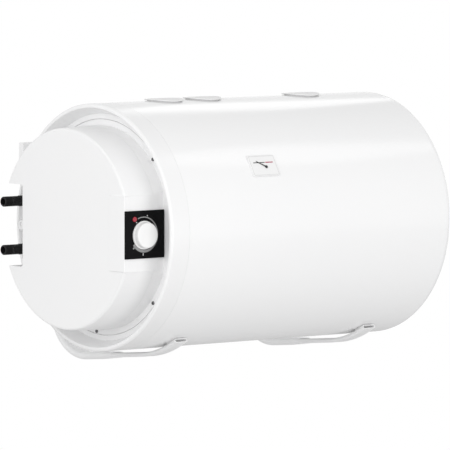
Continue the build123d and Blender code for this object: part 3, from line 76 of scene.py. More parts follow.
class GrainGroups:
    """Shader node groups for the grains that several finishes use.

    The tone of each grain changes more slowly than its relief, by the shares below.
    """

    ENAMEL_TONE = 0.012
    MOULDED_TONE = 0.01
    BRUSHED_TONE = 0.05
    CAST_TONE = 0.08
    FOAM_TONE = 0.06
    FLOW_DISTORTION = 0.6
    BRUSHED_STRETCH = (0.05, 1.0, 1.0)
    BRUSHED_GAIN = 2.0

    def __init__(self) -> None:
        """Build each group once."""
        self._groups: dict[Surface, bpy.types.NodeTree] = {
            Surface.ENAMEL: self._enamel(),
            Surface.MOULDED: self._moulded(),
            Surface.BRUSHED: self._brushed(),
            Surface.CAST: self._cast(),
            Surface.FOAM: self._foam(),
        }

    def get(self, surface: Surface) -> bpy.types.NodeTree:
        """Return the group of one kind of surface."""
        return self._groups[surface]

    @staticmethod
    def _start(name: str) -> tuple[bpy.types.NodeTree, bpy.types.Node, bpy.types.Node]:
        """Make an empty group with the sockets that all grains have.

        Args:
            name: Name of the group.

        Returns:
            The group, its input node and its output node.
        """
        group = bpy.data.node_groups.new(name, "ShaderNodeTree")
        face = group.interface
        face.new_socket(name="Vector", in_out="INPUT", socket_type="NodeSocketVector")
        face.new_socket(name="Scale", in_out="INPUT", socket_type="NodeSocketFloat")
        face.new_socket(name="Mask", in_out="OUTPUT", socket_type="NodeSocketFloat")
        face.new_socket(name="Height", in_out="OUTPUT", socket_type="NodeSocketFloat")
        return group, group.nodes.new("NodeGroupInput"), group.nodes.new("NodeGroupOutput")

    @staticmethod
    def _noise(group: bpy.types.NodeTree, detail: float, rough: float) -> bpy.types.Node:
        """Add a noise texture to a group.

        Args:
            group: Group that takes the node.
            detail: Octaves of the noise.
            rough: Weight of the finer octaves.

        Returns:
            The new node.
        """
        node = group.nodes.new("ShaderNodeTexNoise")
        node.inputs["Detail"].default_value = detail
        node.inputs["Roughness"].default_value = rough
        return node

    @staticmethod
    def _times(
        group: bpy.types.NodeTree, source: bpy.types.NodeSocket, factor: float
    ) -> bpy.types.NodeSocket:
        """Multiply a value by a number.

        Args:
            group: Group that takes the node.
            source: Value to multiply.
            factor: The number.

        Returns:
            The product's socket.
        """
        node = group.nodes.new("ShaderNodeMath")
        node.operation = "MULTIPLY"
        node.inputs[1].default_value = factor
        group.links.new(source, node.inputs[0])
        return node.outputs[0]

    def _enamel(self) -> bpy.types.NodeTree:
        """Broad tone changes with the soft ripple of fired or sprayed paint.

        Returns:
            The group.
        """
        group, start, end = self._start("grain_enamel")
        links = group.links
        broad = self._noise(group, 2.0, 0.5)
        ripple = self._noise(group, 2.0, 0.4)
        links.new(start.outputs["Vector"], broad.inputs["Vector"])
        links.new(start.outputs["Vector"], ripple.inputs["Vector"])
        links.new(self._times(group, start.outputs["Scale"], self.ENAMEL_TONE), broad.inputs["Scale"])
        links.new(start.outputs["Scale"], ripple.inputs["Scale"])
        links.new(broad.outputs["Fac"], end.inputs["Mask"])
        links.new(ripple.outputs["Fac"], end.inputs["Height"])
        return group

    def _moulded(self) -> bpy.types.NodeTree:
        """Fine spark-eroded grain of a moulding, with slow flow marks.

        Returns:
            The group.
        """
        group, start, end = self._start("grain_moulded")
        links = group.links
        flow = self._noise(group, 3.0, 0.5)
        flow.inputs["Distortion"].default_value = self.FLOW_DISTORTION
        grain = self._noise(group, 3.0, 0.65)
        links.new(start.outputs["Vector"], flow.inputs["Vector"])
        links.new(start.outputs["Vector"], grain.inputs["Vector"])
        links.new(self._times(group, start.outputs["Scale"], self.MOULDED_TONE), flow.inputs["Scale"])
        links.new(start.outputs["Scale"], grain.inputs["Scale"])
        links.new(flow.outputs["Fac"], end.inputs["Mask"])
        links.new(grain.outputs["Fac"], end.inputs["Height"])
        return group

    def _brushed(self) -> bpy.types.NodeTree:
        """Drawn and plated metal: long fine lines along the piece.

        Returns:
            The group.
        """
        group, start, end = self._start("grain_brushed")
        links = group.links
        stretch = group.nodes.new("ShaderNodeMapping")
        stretch.inputs["Scale"].default_value = self.BRUSHED_STRETCH
        links.new(start.outputs["Vector"], stretch.inputs["Vector"])
        lines = self._noise(group, 4.0, 0.7)
        links.new(stretch.outputs["Vector"], lines.inputs["Vector"])
        links.new(start.outputs["Scale"], lines.inputs["Scale"])
        cloud = self._noise(group, 2.0, 0.5)
        links.new(start.outputs["Vector"], cloud.inputs["Vector"])
        links.new(self._times(group, start.outputs["Scale"], self.BRUSHED_TONE), cloud.inputs["Scale"])
        blend = group.nodes.new("ShaderNodeMath")
        blend.operation = "MULTIPLY"
        links.new(lines.outputs["Fac"], blend.inputs[0])
        links.new(cloud.outputs["Fac"], blend.inputs[1])
        links.new(self._times(group, blend.outputs[0], self.BRUSHED_GAIN), end.inputs["Mask"])
        links.new(lines.outputs["Fac"], end.inputs["Height"])
        return group

    def _cast(self) -> bpy.types.NodeTree:
        """Pitted skin of rubber and of cast metal.

        Returns:
            The group.
        """
        group, start, end = self._start("grain_cast")
        links = group.links
        pits = group.nodes.new("ShaderNodeTexVoronoi")
        pits.feature = "SMOOTH_F1"
        links.new(start.outputs["Vector"], pits.inputs["Vector"])
        links.new(start.outputs["Scale"], pits.inputs["Scale"])
        cloud = self._noise(group, 4.0, 0.6)
        links.new(start.outputs["Vector"], cloud.inputs["Vector"])
        links.new(self._times(group, start.outputs["Scale"], self.CAST_TONE), cloud.inputs["Scale"])
        links.new(cloud.outputs["Fac"], end.inputs["Mask"])
        links.new(pits.outputs["Distance"], end.inputs["Height"])
        return group

    def _foam(self) -> bpy.types.NodeTree:
        """Cells of foam, each a little different in tone.

        Returns:
            The group.
        """
        group, start, end = self._start("grain_foam")
        links = group.links
        cells = group.nodes.new("ShaderNodeTexVoronoi")
        links.new(start.outputs["Vector"], cells.inputs["Vector"])
        links.new(start.outputs["Scale"], cells.inputs["Scale"])
        cloud = self._noise(group, 3.0, 0.6)
        links.new(start.outputs["Vector"], cloud.inputs["Vector"])
        links.new(self._times(group, start.outputs["Scale"], self.FOAM_TONE), cloud.inputs["Scale"])
        links.new(cloud.outputs["Fac"], end.inputs["Mask"])
        links.new(cells.outputs["Distance"], end.inputs["Height"])
        return group


@dataclass(frozen=True)
class Finish:
    """One finish: two near colours that the grain mixes, a gloss and a relief."""

    name: str
    surface: Surface
    light: Color
    dark: Color
    rough_low: float
    rough_high: float
    metallic: float = 0.0
    scale: float = 400.0
    relief: float = 0.1
    relief_mm: float = 0.02
    shine: float = 0.5

    def material(self, grains: GrainGroups) -> bpy.types.Material:
        """Make the finish's material.

        Args:
            grains: Groups that hold the shared grains.

        Returns:
            The material.
        """
        made = bpy.data.materials.new(self.name)
        made.use_nodes = True
        made.diffuse_color = (*self.light, 1.0)
        tree = made.node_tree
        shader = tree.nodes["Principled BSDF"]
        shader.inputs["Metallic"].default_value = self.metallic
        shader.inputs["Specular IOR Level"].default_value = self.shine
        place = tree.nodes.new("ShaderNodeTexCoord")
        grain = tree.nodes.new("ShaderNodeGroup")
        grain.node_tree = grains.get(self.surface)
        grain.inputs["Scale"].default_value = self.scale
        tree.links.new(place.outputs["Object"], grain.inputs["Vector"])
        tint = tree.nodes.new("ShaderNodeMix")
        tint.data_type = "RGBA"
        color_in = [socket for socket in tint.inputs if socket.type == "RGBA"]
        color_in[0].default_value = (*self.dark, 1.0)
        color_in[1].default_value = (*self.light, 1.0)
        tree.links.new(grain.outputs["Mask"], tint.inputs["Factor"])
        color_out = [socket for socket in tint.outputs if socket.type == "RGBA"][0]
        tree.links.new(color_out, shader.inputs["Base Color"])
        gloss = tree.nodes.new("ShaderNodeMapRange")
        gloss.inputs["To Min"].default_value = self.rough_low
        gloss.inputs["To Max"].default_value = self.rough_high
        tree.links.new(grain.outputs["Mask"], gloss.inputs["Value"])
        tree.links.new(gloss.outputs["Result"], shader.inputs["Roughness"])
        bump = tree.nodes.new("ShaderNodeBump")
        bump.inputs["Strength"].default_value = self.relief
        bump.inputs["Distance"].default_value = self.relief_mm * MM
        tree.links.new(grain.outputs["Height"], bump.inputs["Height"])
        tree.links.new(bump.outputs["Normal"], shader.inputs["Normal"])
        return made


FINISHES: tuple[Finish, ...] = (
    Finish(
        name="white_enamel",
        surface=Surface.ENAMEL,
        light=(0.905, 0.905, 0.907),
        dark=(0.895, 0.895, 0.898),
        rough_low=0.145,
        rough_high=0.19,
    ),
    Finish(
        name="white_plastic",
        surface=Surface.MOULDED,
        light=(0.885, 0.885, 0.887),
        dark=(0.875, 0.875, 0.878),
        rough_low=0.475,
        rough_high=0.525,
        scale=1600.0,
    ),
    Finish(
        name="cap_white",
        surface=Surface.MOULDED,
        light=(0.84, 0.84, 0.84),
        dark=(0.83, 0.83, 0.83),
        rough_low=0.475,
        rough_high=0.525,
        scale=1600.0,
    ),
    # Painted light: the cover base is a touch whiter than the cover so that it reads brighter where the
    # recess shades it.
    Finish(
        name="base_white_painted_light",
        surface=Surface.MOULDED,
        light=(0.9, 0.9, 0.902),
        dark=(0.89, 0.89, 0.893),
        rough_low=0.475,
        rough_high=0.525,
        scale=1600.0,
    ),
    Finish(
        name="ring_white",
        surface=Surface.MOULDED,
        light=(0.885, 0.885, 0.887),
        dark=(0.875, 0.875, 0.878),
        rough_low=0.21,
        rough_high=0.26,
        scale=1600.0,
    ),
    Finish(
        name="knob_white",
        surface=Surface.MOULDED,
        light=(0.9, 0.9, 0.895),
        dark=(0.88, 0.88, 0.875),
        rough_low=0.28,
        rough_high=0.36,
        scale=1800.0,
    ),
    Finish(
        name="bracket_white",
        surface=Surface.ENAMEL,
        light=(0.88, 0.88, 0.883),
        dark=(0.85, 0.85, 0.853),
        rough_low=0.34,
        rough_high=0.44,
        scale=900.0,
    ),
    Finish(
        name="white_rubber",
        surface=Surface.CAST,
        light=(0.7, 0.7, 0.7),
        dark=(0.62, 0.62, 0.62),
        rough_low=0.6,
        rough_high=0.75,
        scale=1400.0,
    ),
    Finish(
        name="grey_rubber",
        surface=Surface.CAST,
        light=(0.05, 0.05, 0.052),
        dark=(0.035, 0.035, 0.037),
        rough_low=0.6,
        rough_high=0.78,
        scale=1400.0,
    ),
    Finish(
        name="black_plastic",
        surface=Surface.MOULDED,
        light=(0.006, 0.006, 0.0065),
        dark=(0.004, 0.004, 0.0045),
        rough_low=0.5,
        rough_high=0.6,
        scale=1800.0,
        shine=0.06,
    ),
    Finish(
        name="nipple_black",
        surface=Surface.MOULDED,
        light=(0.012, 0.012, 0.0125),
        dark=(0.008, 0.008, 0.0085),
        rough_low=0.4,
        rough_high=0.52,
        scale=1500.0,
        shine=0.2,
    ),
    Finish(
        name="grey_plastic",
        surface=Surface.MOULDED,
        light=(0.36, 0.36, 0.35),
        dark=(0.32, 0.32, 0.31),
        rough_low=0.45,
        rough_high=0.55,
        scale=1500.0,
    ),
    Finish(
        name="button_red",
        surface=Surface.MOULDED,
        light=(0.42, 0.02, 0.016),
        dark=(0.34, 0.015, 0.012),
        rough_low=0.4,
        rough_high=0.5,
        scale=1500.0,
    ),
    Finish(
        name="red_lens",
        surface=Surface.MOULDED,
        light=(0.4, 0.016, 0.04),
        dark=(0.32, 0.01, 0.026),
        rough_low=0.28,
        rough_high=0.33,
        scale=700.0,
    ),
    Finish(
        name="dial_white",
        surface=Surface.MOULDED,
        light=(0.87, 0.87, 0.87),
        dark=(0.85, 0.85, 0.85),
        rough_low=0.34,
        rough_high=0.42,
        scale=1500.0,
    ),
    Finish(
        name="needle_black",
        surface=Surface.ENAMEL,
        light=(0.02, 0.02, 0.021),
        dark=(0.014, 0.014, 0.015),
        rough_low=0.45,
        rough_high=0.55,
        scale=1200.0,
    ),
    Finish(
        name="zinc_steel",
        surface=Surface.BRUSHED,
        light=(0.6, 0.61, 0.63),
        dark=(0.42, 0.43, 0.46),
        rough_low=0.28,
        rough_high=0.42,
        metallic=1.0,
        scale=500.0,
    ),
    Finish(
        name="screw_steel",
        surface=Surface.BRUSHED,
        light=(0.2, 0.2, 0.205),
        dark=(0.12, 0.12, 0.125),
        rough_low=0.4,
        rough_high=0.55,
        metallic=0.7,
        scale=500.0,
    ),
    Finish(
        name="vessel_enamel",
        surface=Surface.ENAMEL,
        light=(0.08, 0.11, 0.17),
        dark=(0.05, 0.07, 0.11),
        rough_low=0.2,
        rough_high=0.34,
        scale=300.0,
    ),
    Finish(
        name="copper",
        surface=Surface.BRUSHED,
        light=(0.72, 0.36, 0.22),
        dark=(0.5, 0.22, 0.12),
        rough_low=0.26,
        rough_high=0.4,
        metallic=1.0,
        scale=600.0,
    ),
    Finish(
        name="magnesium",
        surface=Surface.CAST,
        light=(0.42, 0.42, 0.41),
        dark=(0.3, 0.3, 0.29),
        rough_low=0.5,
        rough_high=0.7,
        metallic=0.9,
        scale=500.0,
    ),
    Finish(
        name="foam",
        surface=Surface.FOAM,
        light=(0.78, 0.66, 0.34),
        dark=(0.66, 0.53, 0.24),
        rough_low=0.8,
        rough_high=0.95,
        scale=700.0,
        relief=0.6,
    ),
    Finish(
        name="print_grey",
        surface=Surface.MOULDED,
        light=(0.3, 0.3, 0.3),
        dark=(0.27, 0.27, 0.27),
        rough_low=0.45,
        rough_high=0.55,
        scale=1600.0,
    ),
    Finish(
        name="print_white",
        surface=Surface.MOULDED,
        light=(0.72, 0.72, 0.72),
        dark=(0.68, 0.68, 0.68),
        rough_low=0.45,
        rough_high=0.55,
        scale=1600.0,
    ),
    Finish(
        name="print_black",
        surface=Surface.MOULDED,
        light=(0.025, 0.025, 0.025),
        dark=(0.02, 0.02, 0.02),
        rough_low=0.45,
        rough_high=0.55,
        scale=1600.0,
    ),
    Finish(
        name="print_red",
        surface=Surface.MOULDED,
        light=(0.42, 0.05, 0.1),
        dark=(0.38, 0.045, 0.09),
        rough_low=0.45,
        rough_high=0.55,
        scale=1600.0,
    ),
    Finish(
        name="print_border",
        surface=Surface.MOULDED,
        light=(0.62, 0.62, 0.62),
        dark=(0.6, 0.6, 0.6),
        rough_low=0.45,
        rough_high=0.55,
        scale=1600.0,
    ),
)


class Paintbox:
    """Holds the made materials by their names."""

    def __init__(self) -> None:
        """Make every finish's material."""
        grains = GrainGroups()
        self._made: dict[str, bpy.types.Material] = {each.name: each.material(grains) for each in FINISHES}

    def coat(self, piece: bpy.types.Object, finish: str) -> None:
        """Give a piece one finish in all its slots.

        Args:
            piece: Object to dress.
            finish: Name of the finish.
        """
        if not piece.material_slots:
            piece.data.materials.append(self._made[finish])
        for holder in piece.material_slots:
            holder.material = self._made[finish]


class Bench:
    """Modelling moves on one piece at a time, as made by hand."""

    @staticmethod
    def clear() -> None:
        """Deselect everything."""
        if bpy.context.mode != "OBJECT":
            bpy.ops.object.mode_set(mode="OBJECT")
        bpy.ops.object.select_all(action="DESELECT")

    @staticmethod
    def take(piece: bpy.types.Object) -> None:
        """Make a piece the only selected and active one.

        Args:
            piece: Object to take.
        """
        Bench.clear()
        piece.select_set(True)
        bpy.context.view_layer.objects.active = piece

    @staticmethod
    @contextmanager
    def editing(piece: bpy.types.Object, kind: str = "VERT") -> Iterator[None]:
        """Hold a piece in edit mode.

        Args:
            piece: Object to edit.
            kind: What is selected: VERT, EDGE or FACE.

        Yields:
            Nothing, while edit mode is on.
        """
        Bench.take(piece)
        bpy.ops.object.mode_set(mode="EDIT")
        bpy.ops.mesh.select_mode(type=kind)
        yield
        bpy.ops.object.mode_set(mode="OBJECT")

    @staticmethod
    def named(name: str) -> bpy.types.Object:
        """Give the active object and its mesh a name.

        Args:
            name: New name.

        Returns:
            The active object.
        """
        piece = bpy.context.active_object
        piece.name = name
        piece.data.name = name
        return piece

    @staticmethod
    def thicken(piece: bpy.types.Object, depth: float) -> None:
        """Give a flat piece a thickness along its normals with an applied modifier.

        Args:
            piece: Object to thicken.
            depth: Thickness.
        """
        Bench.take(piece)
        wall = piece.modifiers.new("wall", "SOLIDIFY")
        wall.thickness = depth
        wall.offset = 1.0
        bpy.ops.object.modifier_apply(modifier=wall.name)

    @staticmethod
    def smooth(piece: bpy.types.Object, angle: float) -> None:
        """Shade a piece smoothly up to an edge angle."""
        Bench.take(piece)
        bpy.ops.object.shade_smooth_by_angle(angle=radians(angle))

    @staticmethod
    def outward(piece: bpy.types.Object) -> None:
        """Merge doubles and point all faces outwards.

        Args:
            piece: Object to clean.
        """
        with Bench.editing(piece):
            bpy.ops.mesh.select_all(action="SELECT")
            bpy.ops.mesh.remove_doubles(threshold=MERGE_GAP)
            bpy.ops.mesh.normals_make_consistent(inside=False)

    @staticmethod
    def settle(piece: bpy.types.Object, place: Matrix) -> None:
        """Put a piece's place into its mesh and leave the object at the origin.

        Args:
            piece: Object that was modelled on the flat.
            place: Where its mesh goes.
        """
        piece.data.transform(place @ piece.matrix_world)
        piece.matrix_world = Matrix.Identity(4)
        piece.data.update()

    @staticmethod
    def turned(name: str, profile: list[Point], steps: int, hollow: bool) -> bpy.types.Object:
        """Turn a profile about the Z axis, as on a lathe.

        Args:
            name: Name of the piece.
            profile: Points as (radius, height).
            steps: Steps in the turn.
            hollow: Whether the last point joins the first; otherwise both lie on the axis.

        Returns:
            The turned piece.
        """
        Bench.clear()
        bpy.ops.mesh.primitive_plane_add(size=MM)
        piece = Bench.named(name)
        with Bench.editing(piece):
            bpy.ops.mesh.select_all(action="SELECT")
            bpy.ops.mesh.merge(type="CENTER")
            bpy.ops.transform.translate(value=(profile[0][0], 0.0, profile[0][1]))
            for before, after in zip(profile, profile[1:]):
                move = (after[0] - before[0], 0.0, after[1] - before[1])
                bpy.ops.mesh.extrude_region_move(TRANSFORM_OT_translate={"value": move})
            if hollow:
                bpy.ops.mesh.select_all(action="SELECT")
                bpy.ops.mesh.edge_face_add()
                bpy.ops.mesh.delete(type="ONLY_FACE")
            bpy.ops.mesh.select_all(action="SELECT")
            bpy.ops.mesh.spin(steps=steps, angle=2 * pi, center=(0, 0, 0), axis=(0, 0, 1))
        Bench.outward(piece)
        return piece


def dress_nodes(finishes: dict[str, str], paints: Paintbox) -> None:
    """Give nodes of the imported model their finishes.

    Args:
        finishes: Finish name of each node.
        paints: Finishes to dress with.
    """
    for node, finish in finishes.items():
        paints.coat(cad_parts[node], finish)
        LOG.info("node %s: %s", node, finish)


@dataclass
class Casing:
    """White outside of the tank: jacket, right end, ring, cover and what holds it."""

    finishes: dict[str, str] = field(
        default_factory=lambda: {
            "jacket": "white_enamel",
            "right_end_cap": "white_enamel",
            "end_ring": "ring_white",
            # The cover base is painted a touch lighter than the cover to brighten its shade in the recess.
            "cover_base": "base_white_painted_light",
            "service_cover": "white_plastic",
            "cover_screws": "screw_steel",
            "cable_grommet": "white_plastic",
        }
    )

    def dress(self, paints: Paintbox) -> None:
        """Give each node of the casing its finish."""
        dress_nodes(self.finishes, paints)


@dataclass
class Brackets:
    """White tube brackets, the wall rail and their fixings."""

    finishes: dict[str, str] = field(
        default_factory=lambda: {
            "left_wall_leg": "bracket_white",
            "right_wall_leg": "bracket_white",
            "left_cradle_arm": "bracket_white",
            "right_cradle_arm": "bracket_white",
            "wall_rail": "bracket_white",
            "rail_end_plugs": "white_plastic",
            "left_saddle_pad": "white_rubber",
            "right_saddle_pad": "white_rubber",
            "bracket_spacers": "white_plastic",
            "bracket_bolts": "zinc_steel",
            "bracket_bosses": "zinc_steel",
        }
    )

    def dress(self, paints: Paintbox) -> None:
        """Give each node of the brackets its finish."""
        dress_nodes(self.finishes, paints)


@dataclass
class Works:
    """What is inside: vessel, foam, flange, elements and the wiring space."""

    finishes: dict[str, str] = field(
        default_factory=lambda: {
            "inner_vessel": "vessel_enamel",
            "insulation": "foam",
            "port_sockets": "zinc_steel",
            "port_plugs": "zinc_steel",
            "cold_inlet_pipe": "zinc_steel",
            "hot_outlet_pipe": "zinc_steel",
            "flange_plate": "zinc_steel",
            "flange_gasket": "grey_rubber",
            "flange_bolts": "zinc_steel",
            "heating_elements": "copper",
            "sensor_pocket": "copper",
            "anode_rod": "magnesium",
            "device_strap": "zinc_steel",
            "safety_cutout": "grey_plastic",
            "reset_button": "button_red",
            "terminal_block": "grey_plastic",
            "thermostat": "black_plastic",
            "indicator_lamp": "grey_plastic",
            "thermometer_stem": "zinc_steel",
            "knob_spindle": "zinc_steel",
        }
    )

    def dress(self, paints: Paintbox) -> None:
        """Give each inner node its finish."""
        dress_nodes(self.finishes, paints)


@dataclass
class ControlPanel:
    """Black panel with its printed scale, the lamp and the knob."""

    knob_x: float = -0.419
    knob_z: float = -0.003
    print_depth: float = 0.15 * MM
    scale_radius: float = 37.6 * MM
    scale_start: float = 114.0
    scale_sweep: float = 258.0
    scale_thin: float = 1.7 * MM
    scale_thick: float = 6.4 * MM
    scale_growth: float = 1.15
    scale_draw: float = 7.0 * MM
    scale_draw_from: float = 0.5
    scale_steps: int = 80
    tick_round: float = 0.3
    dot_steps: int = 24
    finishes: dict[str, str] = field(
        default_factory=lambda: {
            "control_panel": "black_plastic",
            "indicator_lens": "red_lens",
            "temperature_knob": "knob_white",
        }
    )

    def face(self) -> Matrix:
        """Find the panel's front, with local x to the right and local y up.

        Returns:
            Its place.
        """
        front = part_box("control_panel")[0][1]
        turn = Matrix(((1, 0, 0, 0), (0, 0, -1, 0), (0, 1, 0, 0), (0, 0, 0, 1)))
        return Matrix.Translation((self.knob_x, front, self.knob_z)) @ turn

    def scale(self) -> bpy.types.Object:
        """Model the printed scale that widens clockwise round the knob and draws in at its end.

        Returns:
            The scale.
        """
        Bench.clear()
        bpy.ops.mesh.primitive_grid_add(x_subdivisions=self.scale_steps, y_subdivisions=2, size=1.0)
        piece = Bench.named("panel_scale")
        for spot in piece.data.vertices:
            share = spot.co.x + 0.5
            inward = 0.5 - spot.co.y
            angle = radians(self.scale_start - share * self.scale_sweep)
            width = self.scale_thin + (self.scale_thick - self.scale_thin) * share**self.scale_growth
            drawn = self.scale_draw * max(share - self.scale_draw_from, 0.0)
            radius = self.scale_radius - drawn - inward * width
            spot.co = Vector((radius * cos(angle), radius * sin(angle), 0.0))
        Bench.outward(piece)
        Bench.thicken(piece, self.print_depth)
        return piece

    def tick(self, name: str, angle: float, radius: float, length: float, width: float) -> bpy.types.Object:
        """Model one printed tick outside the scale.

        Args:
            name: Name of the piece.
            angle: Place round the knob, in degrees from the right.
            radius: Distance of its middle from the knob's centre.
            length: Length along the radius.
            width: Width across it.

        Returns:
            The tick.
        """
        Bench.clear()
        bpy.ops.mesh.primitive_plane_add(size=1.0)
        piece = Bench.named(name)
        with Bench.editing(piece):
            bpy.ops.mesh.select_all(action="SELECT")
            bpy.ops.transform.resize(value=(length, width, 1.0))
            bpy.ops.mesh.bevel(offset=width * self.tick_round, segments=3, affect="VERTICES")
            bpy.ops.transform.translate(value=(radius, 0.0, 0.0))
        Bench.settle(piece, Matrix.Rotation(radians(angle), 4, "Z"))
        Bench.thicken(piece, self.print_depth)
        return piece

    def dot(self, name: str, angle: float, radius: float, size: float) -> bpy.types.Object:
        """Model one printed dot.

        Args:
            name: Name of the piece.
            angle: Place round the knob, in degrees from the right.
            radius: Distance from the knob's centre.
            size: Radius of the dot.

        Returns:
            The dot.
        """
        Bench.clear()
        bpy.ops.mesh.primitive_circle_add(vertices=self.dot_steps, radius=size, fill_type="NGON")
        piece = Bench.named(name)
        spot = Vector((radius * cos(radians(angle)), radius * sin(radians(angle)), 0.0))
        Bench.settle(piece, Matrix.Translation(spot))
        Bench.thicken(piece, self.print_depth)
        return piece

    def build(self, paints: Paintbox) -> list[bpy.types.Object]:
        """Build the printed marks and dress the panel.

        Args:
            paints: Finishes to dress with.

        Returns:
            The new pieces.
        """
        dress_nodes(self.finishes, paints)
        scale = self.scale()
        end_tick = self.tick(
            "panel_tick_start", angle=225.0, radius=36.0 * MM, length=5.4 * MM, width=3.4 * MM
        )
        low_tick = self.tick(
            "panel_tick_low", angle=268.0, radius=39.2 * MM, length=5.0 * MM, width=1.6 * MM
        )
        top_dot = self.dot("panel_dot_top", angle=76.0, radius=40.2 * MM, size=1.2 * MM)
        lamp_dot = self.dot("panel_dot_lamp", angle=125.0, radius=32.0 * MM, size=1.2 * MM)
        marks = [
            (scale, "print_grey"),
            (end_tick, "print_grey"),
            (low_tick, "print_white"),
            (top_dot, "print_white"),
            (lamp_dot, "print_white"),
        ]
        place = self.face()
        made = []
        for piece, finish in marks:
            Bench.settle(piece, place)
            paints.coat(piece, finish)
            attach(piece, TANK_BODY)
            made.append(piece)
        return made


@dataclass
class Thermometer:
    """Dial plate on the jacket with its printed scale and needle."""

    lean: float = 29.7
    radius: float = 258.0 * MM
    centre_x: float = -121.5 * MM
    axis_y: float = -292.0 * MM
    print_depth: float = 0.12 * MM
    width: float = 70.0 * MM
    height: float = 46.5 * MM
    border_margin: float = 3.2 * MM
    border_width: float = 0.7 * MM
    bar_level: float = 6.8 * MM
    bar_round: float = 0.25
    finishes: dict[str, str] = field(
        default_factory=lambda: {
            "thermometer_plate": "dial_white",
            "thermometer_needle": "needle_black",
            "needle_pin": "needle_black",
        }
    )

    def face(self) -> Matrix:
        """Find the dial's front, with local x to the right and local y up.

        Returns:
            Its place.
        """
        tilt = radians(self.lean)
        normal = Vector((0.0, -cos(tilt), sin(tilt)))
        up = Vector((0.0, sin(tilt), cos(tilt)))
        turn = Matrix(((1, 0, 0), (0, up.y, normal.y), (0, up.z, normal.z))).to_4x4()
        spot = Vector((self.centre_x, self.axis_y, 0.0)) + normal * self.radius
        return Matrix.Translation(spot) @ turn

    def bar(self, name: str, start: float, end: float, width: float) -> bpy.types.Object:
        """Model one printed bar of the scale.

        Args:
            name: Name of the piece.
            start: Left end.
            end: Right end.
            width: Height of the bar.

        Returns:
            The bar.
        """
        Bench.clear()
        bpy.ops.mesh.primitive_plane_add(size=1.0)
        piece = Bench.named(name)
        with Bench.editing(piece):
            bpy.ops.mesh.select_all(action="SELECT")
            bpy.ops.transform.resize(value=(end - start, width, 1.0))
            bpy.ops.mesh.bevel(offset=width * self.bar_round, segments=2, affect="VERTICES")
            bpy.ops.transform.translate(value=((start + end) / 2, self.bar_level, 0.0))
        Bench.thicken(piece, self.print_depth)
        return piece

    def border(self) -> bpy.types.Object:
        """Model the thin printed frame near the dial's edge.

        Returns:
            The frame.
        """
        Bench.clear()
        bpy.ops.mesh.primitive_plane_add(size=1.0)
        piece = Bench.named("dial_border")
        with Bench.editing(piece, "FACE"):
            bpy.ops.mesh.select_all(action="SELECT")
            size = (self.width - self.border_margin, self.height - self.border_margin, 1.0)
            bpy.ops.transform.resize(value=size)
            bpy.ops.mesh.inset(thickness=self.border_width)
            bpy.ops.mesh.delete(type="FACE")
        Bench.thicken(piece, self.print_depth)
        return piece

    def build(self, paints: Paintbox) -> list[bpy.types.Object]:
        """Build the printed scale and dress the dial.

        Args:
            paints: Finishes to dress with.

        Returns:
            The new pieces.
        """
        dress_nodes(self.finishes, paints)
        marks = [
            (self.border(), "print_border"),
            (self.bar("dial_bar_cold", start=-25.6 * MM, end=5.2 * MM, width=1.8 * MM), "print_black"),
            (self.bar("dial_bar_hot", start=6.6 * MM, end=26.8 * MM, width=2.2 * MM), "print_red"),
        ]
        place = self.face()
        made = []
        for piece, finish in marks:
            Bench.settle(piece, place)
            paints.coat(piece, finish)
            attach(piece, TANK_BODY)
            made.append(piece)
        return made


@dataclass
class WaterNipple:
    """Black connection nipple with its pipe thread."""

    node: str
    radius: float = 10.45 * MM
    root: float = 9.3 * MM
    bore: float = 7.2 * MM
    collar: float = 11.2 * MM
    tip_length: float = 41.0 * MM
    thread_length: float = 17.0 * MM
    pitch: float = 1.814 * MM
    chamfer: float = 1.2 * MM
    thread_start: float = 0.72 * MM
    valley: float = 0.1
    crest_from: float = 0.45
    crest_to: float = 0.6
    relief_end: float = 0.8
    shank_start: float = 1.4
    collar_chamfer: float = 0.8 * MM
    steps: int = 56
    smooth_angle: float = 30.0

    def profile(self, length: float) -> list[Point]:
        """Return the half section, with height 0 at the tip.

        Args:
            length: Whole length of the nipple.

        Returns:
            Points as (radius, height).
        """
        points: list[Point] = [(self.bore, 0.0), (self.radius - self.chamfer, 0.0)]
        turns = int(self.thread_length / self.pitch)
        for turn in range(turns):
            low = self.thread_start + turn * self.pitch
            points.append((self.root, low + self.valley * self.pitch))
            points.append((self.radius, low + self.crest_from * self.pitch))
            points.append((self.radius, low + self.crest_to * self.pitch))
        end = self.thread_start + turns * self.pitch
        points.append((self.root, end + self.valley * self.pitch))
        points.append((self.root, end + self.relief_end * self.pitch))
        points.append((self.radius, end + self.shank_start * self.pitch))
        points.append((self.radius, self.tip_length))
        points.append((self.collar - self.collar_chamfer, self.tip_length))
        points.append((self.collar, self.tip_length + self.collar_chamfer))
        points.append((self.collar, length))
        points.append((self.bore, length))
        return points

    def build(self, paints: Paintbox) -> bpy.types.Object:
        """Build the threaded nipple in place of the plain one.

        Args:
            paints: Finishes to dress with.

        Returns:
            The nipple.
        """
        low, high = (Vector(corner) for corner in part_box(self.node))
        profile = self.profile(high.x - low.x)
        piece = Bench.turned(f"{self.node}_threaded", profile, self.steps, hollow=True)
        # The lathe's axis turns to lie along X, with the tip at the low end.
        along = Matrix(((0, 0, 1, 0), (0, 1, 0, 0), (-1, 0, 0, 0), (0, 0, 0, 1)))
        middle = (low + high) / 2
        Bench.settle(piece, Matrix.Translation((low.x, middle.y, middle.z)) @ along)
        Bench.smooth(piece, self.smooth_angle)
        paints.coat(piece, "nipple_black")
        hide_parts(self.node)
        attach(piece, TANK_BODY)
        return piece


